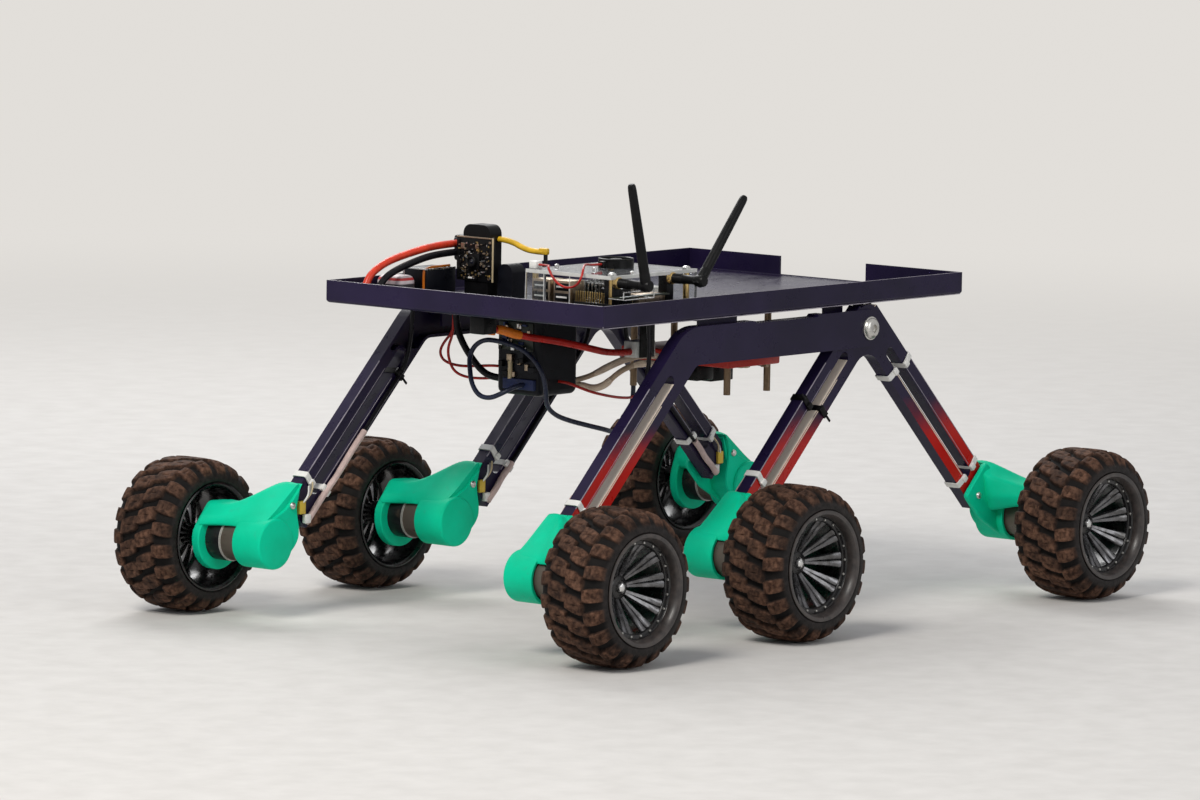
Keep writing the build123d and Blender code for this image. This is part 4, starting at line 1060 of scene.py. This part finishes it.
def tie_shapes(at, rail, inner, facing, dark):
    """A flat band carried round one rail of the leg and through its slot, with its head where it is seen."""
    outer = inner + ARM_DEPTH
    low, high = inner - TIE_GAP, outer + TIE_GAP
    edge, slot = LEG_W / 2 + TIE_GAP, SLOT_HALF - TIE_GAP
    path = fine_loop([(low, edge), (high, edge), (high, slot), (low, slot)], 60, 2)
    out = path - path.mean(axis=0)
    out /= np.linalg.norm(out, axis=1)[:, None]
    band = np.array([(-2.7, -0.5), (2.7, -0.5), (2.7, 0.7), (-2.7, 0.7)])
    v = path[:, 1:] + band[None, :, 1] * out[:, 1:]
    along = at + band[None, :, 0] + 0.16 * (path[:, 1:] - 11) + 0 * v
    y = path[:, :1] + band[None, :, 1] * out[:, :1]
    shapes = [skin_of(np.stack([along, y, rail * v], -1), loop=True)]
    face = outer if facing > 0 else inner
    lumps = [((-3.4, 2.8), (0.3, 3.4), (slot - 0.6, slot + 4.8), 1)]
    if dark:
        lumps.append(((-1.2, 1), (1.2, 2.4), (edge - 1, edge + 6), 0.5))
    for span, rise, wide, soft in lumps:
        y_low, y_high = sorted(face + facing * r for r in rise)
        v_low, v_high = sorted(rail * w for w in wide)
        shapes.append(soft_block((at + span[0], y_low, v_low), (at + span[1], y_high, v_high), soft))
    return shapes


leg_sleeve = plain_plastic("leg_sleeve", (0.66, 0.5, 0.46), 0.42, 0.25)
# Painted highlight: sunlight on the lower slot edge of the left legs, drawn as a cream bead
slot_cream = plain_plastic("slot_cream", (0.74, 0.62, 0.5), 0.35, 0.2)
# Painted highlight colour for the bright beads along edges
edge_shine = plain_plastic("edge_shine", (0.34, 0.31, 0.36), 0.3, 0.4)
cable_shapes, tie_parts, edge_parts = [], [], []
for place_name, axle, way, inner, ties in LEGS:
    side = 1 if place_name.endswith("left") else -1
    turn, start = leg_place(axle, way, side)
    top = 168 if place_name.startswith("front") else 176
    # On the inner face: behind a rail of the left legs, along the lower rail of the right ones
    lane = LANE * way if side > 0 else -LANE
    sleeve_end = 104 if place_name == "front_right" else 46
    for first, last, radius, tone in ((6, top, 1.7, black_skin), (2, sleeve_end, 2.7, leg_sleeve)):
        share = np.linspace(0, 1, 40)
        wave = 0.5 * np.sin(9 * share + axle) * np.sin(np.pi * share)
        line = np.stack([first + (last - first) * share, inner - radius - 0.1 + 0 * share, lane + wave], -1)
        cable_shapes.append((moved(tube_on(line, radius, 10), start, turn), tone))
    end = start + turn @ np.array([top, inner - 2, lane])
    rise = np.linspace(0, 1, 14)[:, None]
    bend = end + turn @ np.array([16, -2, 0])
    over = np.array([end[0] - 10 * way, side * TRAY_CABLE_Y, TRAY_CABLE_Z])
    upper = (1 - rise) ** 2 * end + 2 * rise * (1 - rise) * bend + rise ** 2 * over
    cable_shapes.append((tube_on(upper, 1.9, 10), black_skin))
    for at, rail, dark in ties:
        tie_tone = black_plastic if dark else white_plastic
        band = tie_shapes(at, rail, inner, side, dark)
        tie_parts += [(moved(shape, start, turn), tie_tone) for shape in band]
    # Painted highlights: bright beads along the rails' edges, on the side that is seen
    face = inner + ARM_DEPTH - 0.25 if side > 0 else inner + 0.25
    for first, across, radius, tone in (
        (RAIL_START, LEG_W / 2 - 0.25, 0.5, edge_shine), (SLOT_START, SLOT_HALF + 0.2, 0.45, edge_shine),
        (SLOT_START, -SLOT_HALF - 0.2, 0.6, slot_cream if side > 0 else edge_shine),
    ):
        along = np.linspace(first, top - SLOT_SHORT, 12)
        line = np.stack([along, np.full(12, face), np.full(12, across)], -1)
        edge_parts.append((moved(tube_on(line, radius, 6), start, turn), tone))
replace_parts(make_piece("leg_wiring", cable_shapes, "chassis"), "leg_cables")
make_piece("cable_ties", tie_parts, "chassis")
# Painted highlights: bright beads on the edges of the tray's lip: its front, its left side, and the corner
# between them
for first, last in (
    ((234.6, -150, 280.8), (234.6, 151.5, 280.8)), ((234, 152.1, 280.8), (-243, 152.1, 280.8)),
    ((234.5, 152, 263), (234.5, 152, 280.6)), ((234, 152, 262.4), (-243, 152, 262.4)),
):
    edge_parts.append((tube_on(np.linspace(first, last, 8), 0.42, 6), edge_shine))
make_piece("worn_edges", edge_parts, "chassis")


# Pivot bolts: a domed head with a washer and a socket, and the nut inside
def bolt_shapes():
    """The head and shank turned about the pivot's axis, and a hexagon nut on the inner side."""
    head = turned([
        (10, 155), (10, 156.2), (8.9, 156.4), (8.7, 157.6), (7.6, 159), (5.6, 159.8), (3.4, 160),
        (3.2, 158.2), (0.5, 158.1),
    ], 40, axis="Y")
    nut = six_sided([(1, 140.4), (1, 134.6), (0.86, 134.4), (0.1, 134.4)], 7.8, 36)
    return [head, nut, turned([(4.9, 132.6), (4.9, 155)], 24, axis="Y")]


PIVOT = (-115, 0, 241)
shapes = []
for side in (1, -1):
    for shape in bolt_shapes():
        shapes.append((moved(shape, PIVOT, np.diag([1, side, 1])), steel))
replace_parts(make_piece("pivot_bolt_heads", shapes, "chassis"), "pivot_bolts")


# Aerials: a ribbed stub towards the left, a hinge and a tapered mast with a round tip
def aerial_shapes(x, lean):
    """Turned profiles: the ribbed stub about y, the hinge's barrel, and the mast, leant in degrees."""
    stub_y, tip_y, z = 130, 160, 296
    ribs = np.linspace(stub_y + 2, stub_y + 12, 17)
    profile = [(3.2, stub_y), (4.2, stub_y + 0.6)]
    profile += [(4.2 - 0.35 * (k % 2), y) for k, y in enumerate(ribs)]
    profile += [(3.9, stub_y + 13), (3.6, stub_y + 22), (3.9, tip_y - 4), (3.4, tip_y), (0.5, tip_y + 0.4)]
    stub = turned(profile, 28, at=(x, 0, z), axis="Y")
    barrel = turned([(0.5, -5), (4.2, -4.8), (5, -3.6), (5, 3.6), (4.2, 4.8), (0.5, 5)], 28, axis="Y")
    mast = turned([
        (0.5, -4.6), (3.6, -4.4), (4.5, -2), (4.5, 10), (4.2, 11), (4.3, 12), (4.2, 30), (3.9, 60),
        (3.6, 82), (3.3, 85.6), (2.4, 87.4), (0.5, 87.9),
    ], 28)
    joint = (x, tip_y, z)
    return [(stub, black_plastic), (moved(barrel, joint), black_plastic),
            (moved(mast, joint, turn_about("Y", lean)), black_plastic)]


for name, x, lean in (("aerial_front", 190, 14), ("aerial_rear", 120, -40)):
    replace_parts(make_piece(name + "_mast", aerial_shapes(x, lean), "chassis"), name)


# Computer cards in the case
chip_black = plain_plastic("chip_black", (0.0065, 0.0065, 0.007), 0.32, 0.3)
tin_brown = bright_steel("tin_brown", (0.42, 0.33, 0.24), 0.34)
blue_print = plain_plastic("blue_print", (0.007, 0.018, 0.085), 0.35, 0.4)


def scattered(low, high, count, size, tones, standing, seed):
    """Small round-edged parts at random places on a face; standing is the axis that they rise along."""
    dice = np.random.default_rng(seed)
    low, high = np.asarray(low, float), np.asarray(high, float)
    flat = [k for k in range(3) if k != standing]
    shapes = []
    for k in range(count):
        middle = low + (high - low) * dice.random(3)
        half = 0.5 * size * (0.45 + 0.9 * dice.random(3))
        rise = half[standing]
        middle[standing] = low[standing] + rise - 0.15
        half[flat[0]] *= 0.7 + 0.9 * dice.random()
        shapes.append((soft_block(middle - half, middle + half, 0.25, 2), tones[k % len(tones)]))
    return shapes


BOARD_TOP = 275.6
COVER_TOP = 302


def card_shapes():
    """The board with its ports, pins, cooler, chips and aerial nuts, each a block or a turned profile."""
    shapes = blocks(((92, 40, 274), (196, 128, BOARD_TOP), 0.4, board_dark))
    for y in (42.5, 65):
        shapes += blocks(((178, y, BOARD_TOP), (195.8, y + 18.5, 294.5), 0.5, tin_brown))
        for z in (277.5, 286):
            shapes += blocks(((195, y + 2, z), (196.3, y + 16.5, z + 6.4), 0.3, chip_black),
                             ((195.6, y + 3.5, z + 2.4), (196.6, y + 15, z + 3.9), 0.2, white_plastic))
    for k in range(16):
        y = 87.5 + 2.54 * k
        for x in (190.6, 193.2):
            shapes += blocks(((x, y, BOARD_TOP), (x + 0.8, y + 0.8, 287), 0.2, 2, brass))
    shapes += blocks(((189.6, 86.6, BOARD_TOP), (195.2, 127, 278.4), 0.3, chip_black),
                     ((121, 61, BOARD_TOP), (167, 107, 279), 0.5, silver))
    for k in range(12):
        y = 61.6 + 4 * k
        shapes += blocks(((121, y, 278.6), (167, y + 1.1, 291.4), 0.3, 2, silver))
    for x0, y0, x1, y1, z1, tone in (
        (98, 44, 116, 58, 283, silver), (99, 64, 113, 84, 281, chip_black),
        (98, 92, 117, 106, 286, white_plastic), (124, 44, 150, 57, 280, chip_black),
        (154, 45, 172, 56, 289, blue_print), (170, 88, 184, 102, 277.4, chip_black),
        (124, 110, 158, 126, 284, tin_brown), (166, 106, 184, 124, 290, chip_black),
    ):
        shapes += blocks(((x0, y0, BOARD_TOP), (x1, y1, z1), 0.5, tone))
    tones = (cream_plastic, chip_black, silver, brass)
    shapes += scattered((96, 43, BOARD_TOP), (186, 125, BOARD_TOP), 70, 2.6, tones, 2, 3)
    ring = [(2.5, 127.8), (5, 127.8), (5, 131.2), (4.4, 132), (2.5, 132)]
    for x in (190, 120):
        shapes.append((turned(ring, 24, at=(x, 0, 296), axis="Y"), brass))
        shapes += blocks(((x - 4, 118, BOARD_TOP), (x + 4, 128.2, 298.4), 0.5, chip_black))
    return shapes


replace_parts(make_piece("computer_cards", card_shapes(), "chassis"), "computer_board")

# Case trim: domed screws on the cover, bright sheet edges, and the open bracket below the front aerial
edge_glow = plain_plastic("sheet_edge", (0.66, 0.66, 0.63), 0.25, 0.15)
shapes = []
corner_screw = turned([(3.4, 0), (3.5, 0.9), (2.9, 1.9), (1.6, 2.6), (0.5, 2.7)], 20)
middle_screw = turned([(2, 0), (2, 1.6), (1.2, 2.3), (0.4, 2.4)], 16)
for x, y, screw in (
    (96, 43, corner_screw), (96, 125, corner_screw), (192, 43, corner_screw), (192, 125, corner_screw),
    (166, 43, middle_screw), (166, 84, middle_screw), (166, 125, middle_screw),
):
    shapes.append((moved(screw, (x, y, COVER_TOP)), silver))
shapes += blocks(
    ((199.6, 38, 299.1), (200.3, 130, 302.2), 0.2, 2, edge_glow),
    ((88, 129.6, 299.1), (200, 130.3, 302.2), 0.2, 2, edge_glow),
    ((199.7, 57.6, 267), (200.4, 58.4, 299), 0.2, 2, edge_glow),
    ((199.7, 85.6, 267), (200.4, 86.3, 299.2), 0.2, 2, edge_glow),
    ((199.7, 38, 267), (200.4, 38.6, 299), 0.2, 2, edge_glow),
    ((199.6, 38, 264), (200.3, 130, 266.9), 0.2, 2, edge_glow),
    ((162, 145, 283), (202, 146, 284.1), 0.35, 2, silver),
    ((162, 145, 289.5), (202, 146, 290.6), 0.35, 2, silver),
    ((162, 145, 283), (163.1, 146, 290.6), 0.35, 2, silver),
    ((200.9, 145, 283), (202, 146, 290.6), 0.35, 2, silver),
    ((162.6, 128, 283.2), (164.4, 145.6, 284), 0.35, 2, silver),
    ((198.6, 128, 283.2), (200.4, 145.6, 284), 0.35, 2, silver),
    ((130, 128, 283.4), (198, 136, 284.6), 0.4, board_dark),
)
make_piece("case_trim", shapes, "chassis")


# Fan: an open ring with seven twisted blades and its hub
FAN_SPOT = (130, 77, 0)
FAN_BLADES = 7


def fan_shapes():
    """A ring and a hub turned about z; a blade is a flat section carried outwards, less steep at its tip."""
    ring_profile = [(13.2, COVER_TOP), (15, COVER_TOP), (15, 309.6), (14.2, 310), (13.2, 309.4)]
    ring = turned(ring_profile, 40, loop=True, at=FAN_SPOT)
    hub = turned([(0.5, 303), (5.2, 303), (5.2, 308.6), (4.6, 309.2), (0.5, 309.3)], 28, at=FAN_SPOT)
    reach = np.linspace(4.8, 12.8, 8)[:, None]
    across = np.array([-1, 1, 1, -1])[None, :]
    above = np.array([0, 0, 0.5, 0.5])[None, :]
    width = 1.4 + 0.16 * reach
    slope = 0.62 - 0.02 * reach
    height = 305.4 + slope * width * across + above
    blade = skin_of(np.stack([reach + 0 * across, width * across, height], -1))
    parts = [ring, hub]
    parts += [moved(blade, FAN_SPOT, turn_about("Z", 360 / FAN_BLADES * k)) for k in range(FAN_BLADES)]
    parts.append(soft_block((141, 74.4, 302.2), (149, 79.6, 308), 0.6))
    ray = soft_block((4, -0.8, 302), (14, 0.8, 303.4), 0.3, 2)
    parts += [moved(ray, FAN_SPOT, turn_about("Z", 120 * k + 40)) for k in range(3)]
    return [(part, chip_black) for part in parts]


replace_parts(make_piece("case_fan_blades", fan_shapes(), "chassis"), "case_fan")


# Camera board: lens in a holder among small parts, a pale pin strip down its left edge
LENS_SPOT = (0, -92.6, 294.1)


def sensor_shapes():
    """The board's blocks, a lens and its glass turned about x, and small parts scattered on the front."""
    barrel = turned([
        (0.5, 118), (2, 118.2), (3, 118.6), (3.1, 119.3), (4.1, 119.6), (4.8, 119.2), (5, 118.2), (5, 113.6),
    ], 32, at=LENS_SPOT, axis="X")
    glass = turned([(0.4, 118.9), (1.4, 118.7), (2.4, 118.2), (2.6, 117.8)], 24, at=LENS_SPOT, axis="X")
    shapes = blocks(((112, -113.6, 277), (113.6, -71.6, 315), 0.4, chip_black),
                    ((113.4, -99, 287), (116.4, -86, 300.5), 0.5, chip_black))
    shapes += [(barrel, chip_black), (glass, lens_glass)]
    shapes += blocks(
        ((112.2, -73.4, 277), (114.6, -71.9, 314.6), 0.35, 2, cream_plastic),
        ((112.2, -113.4, 313.4), (114.4, -71.8, 314.8), 0.35, 2, tin_brown),
        ((113.4, -108, 304), (115, -104, 309), 0.35, 2, tin_brown),
        ((113.4, -92, 305), (115, -88, 309), 0.35, 2, tin_brown),
        ((113.4, -100, 278.8), (114.5, -93, 280.4), 0.35, 2, white_plastic),
        ((113.4, -111.8, 279), (114.6, -109.4, 312), 0.35, 2, chip_black),
    )
    tones = (silver, chip_black, tin_brown, chip_black, brass, chip_black)
    shapes += scattered((113.5, -110, 279), (113.5, -75, 312), 150, 1.5, tones, 0, 11)
    shapes += scattered((113.5, -104, 284), (113.5, -80, 304), 26, 2, (silver, tin_brown, chip_black), 0, 5)
    return shapes


lens_glass = new_finish("lens_glass", (0.01, 0.012, 0.02), 0.05, Coat_Weight=0.8, Coat_Roughness=0.03)
set_rough(lens_glass, patches(lens_glass, 500, 2, 0.3, 0.7, 0.03, 0.1))
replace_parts(make_piece("camera_card", sensor_shapes(), "chassis"), "sensor_board")


# Battery with its edge tape and a lead over its top, and the cell with a striped wrap before it
def striped_wrap():
    """Pale wrap with one broad red stripe and a dark foot, by height."""
    made = new_finish("striped_wrap", rough=0.38)
    z = axis_of(made, "Z")
    base = tint(made, patches(made, 120, 3, 0.35, 0.7), (0.62, 0.5, 0.5), (0.74, 0.66, 0.66))
    base = tint(made, spread(made, z, 0.2762, 0.2768), (0.05, 0.045, 0.05), base)
    set_colour(made, tint(made, near_to(made, z, 0.2805, 0.0011), base, (0.5, 0.03, 0.03)))
    return made


def battery_shapes():
    """Round-edged blocks, and a lead: a tube on points that are averaged with their neighbours."""
    share = np.linspace(0, 1, 26)
    lead = np.stack([
        np.interp(share, [0, 0.5, 0.6, 1], [114, 147, 150.6, 151]),
        np.interp(share, [0, 0.6, 1], [-121, -118, -117.5]),
        np.interp(share, [0, 0.45, 0.62, 1], [288.6, 288.6, 285.5, 264.8]),
    ], -1)
    for _ in range(3):
        lead[1:-1] = (lead[:-2] + 2 * lead[1:-1] + lead[2:]) / 4
    shapes = blocks(((112, -143, 264), (150, -115, 287.6), 1.6, dark_case),
                    ((112.5, -116.4, 286.4), (149.6, -114.9, 287.9), 0.3, 2, silver),
                    ((148.6, -142.4, 286.6), (150.2, -115.4, 288), 0.3, 2, silver),
                    ((149.4, -141.5, 266), (150.3, -140.2, 286.6), 0.3, 2, silver))
    shapes.append((tube_on(lead, 1.1, 10), orange_skin))
    return shapes + blocks(((162, -143, 264), (185, -115, 283.6), 6, 5, striped_wrap()),
                           ((184.2, -136, 266.5), (185.5, -120, 270.5), 0.4, chip_black))


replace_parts(make_piece("battery_and_cell", battery_shapes(), "chassis"), "battery")


# Fittings of the leads: connectors, posts and the strip that holds the pale connector under the tray
def fitting_shapes():
    """Connectors as round-edged blocks, and a ribbed boot: a tube of changing radius on each lead's end."""
    shapes = blocks(
        ((78, -125.8, 292), (104, -107.6, 314), 2.2, chip_black),
        ((103, -124, 303), (106, -115.6, 311.5), 1, chip_black),
        ((97, -28.5, 264), (100, -25.5, 303.6), 0.8, chip_black),
        ((96.4, -34, 303), (100.6, -24, 308.8), 1.4, yellow_skin),
        ((188, 38, 302), (196, 46, 308.5), 0.7, white_plastic),
        ((205, -4, 246), (222, 12, 262), 1.4, chip_black),
        ((203.8, -1.5, 244.6), (206.6, 9.5, 254), 0.6, orange_skin),
        ((40, 33, 219), (66, 47, 233), 1.3, edge_glow),
        ((41.5, 46.2, 219.6), (52, 47.4, 225.6), 0.3, white_plastic),
        ((44, 46.9, 219), (62, 49.3, 262), 0.6, chip_black),
    )
    for name, radius in (("lead_red", 5.4), ("lead_black", 5.2)):
        first, second = [np.array(point) / MM + (0, 0, TRAY_Z / MM) for point in CORDS[name][-1][:2]]
        way = (second - first) / np.linalg.norm(second - first)
        line = first + way * np.linspace(-7, 2.5, 9)[:, None]
        size = radius * np.array([1, 1, 1, 0.92, 1, 0.92, 1, 0.86, 0.66])
        shapes.append((tube_on(line, size, 20), chip_black))
    return shapes


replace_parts(make_piece("lead_fittings", fitting_shapes(), "chassis"), "cord_fittings")

# Terminals on the supply's front, and parts below the driver card
shapes = blocks(((145.6, -29, 193.5), (149.6, 5, 202.5), 0.6, blue_print))
shapes.append((bar_between((148, -22, 202), (148, -22, 217), 2, 12), cream_plastic))
shapes += blocks(((145.8, -25, 217), (150, -19, 223), 0.8, tin_brown),
                 ((145.6, -36, 226), (147.4, 2, 250), 0.6, board_dark))
upper_tones, lower_tones = (chip_black, tin_brown, blue_print, silver), (chip_black, dark_case, tin_brown)
shapes += scattered((147.2, -34, 228), (147.2, 0, 248), 24, 3.4, upper_tones, 0, 21)
shapes += scattered((146, -34, 204), (146, 3, 224), 12, 4.2, lower_tones, 0, 22)
make_piece("supply_terminals", shapes, "chassis")
post_brown = bright_steel("post_brown", (0.2, 0.14, 0.09), 0.36)
red_board = board_green("red_board", (0.42, 0.008, 0.006), (0.6, 0.03, 0.015))


def driver_shapes():
    """A thick red board with chips below it, terminals along its ends and small parts under the tray."""
    shapes = blocks(((-112, -60, 203.5), (-42, 60, 214.8), 1.6, red_board),
                    ((-66, -24, 190), (-43.5, 24, 203.8), 0.8, chip_black),
                    ((-100, -18, 187.2), (-70, 18, 203.8), 0.8, chip_black))
    for k in range(9):
        y = -17 + 4 * k
        shapes += blocks(((-99, y, 187.4), (-71, y + 1, 190.5), 0.3, 2, tin_brown))
    for k in range(4):
        y = -46 + 10 * k
        shapes += blocks(((-50, y, 196.5), (-42.6, y + 8, 203.8), 0.6, blue_print),
                         ((-111, y, 196.5), (-103.5, y + 8, 203.8), 0.6, chip_black))
    tones = (chip_black, tin_brown, cream_plastic)
    return shapes + scattered((-106, 26, 201), (-66, 54, 201), 14, 4.6, tones, 2, 31)


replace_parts(make_piece("driver_card", driver_shapes(), "chassis"), "driver_plate")


# Solids of the frame that keep their shape
DRESS = [
    ("tray", coat), ("rocker", leg_coat), ("bogie", leg_coat), ("hangers", coat),
    ("motor", motor_black), ("pivot_bolts", steel), ("case_cover", clear), ("case_floor", clear),
    ("case_posts", brass), ("driver_posts", post_brown), ("camera_body", black_plastic),
    ("sensor_foot", black_plastic), ("regulator", dark_case), ("supply_box", dark_case),
]
for node in frame["nodes"]:
    for start, finish in DRESS:
        if node.startswith(start):
            solid = bpy.data.objects[node]
            for held in solid.material_slots:
                held.material = finish
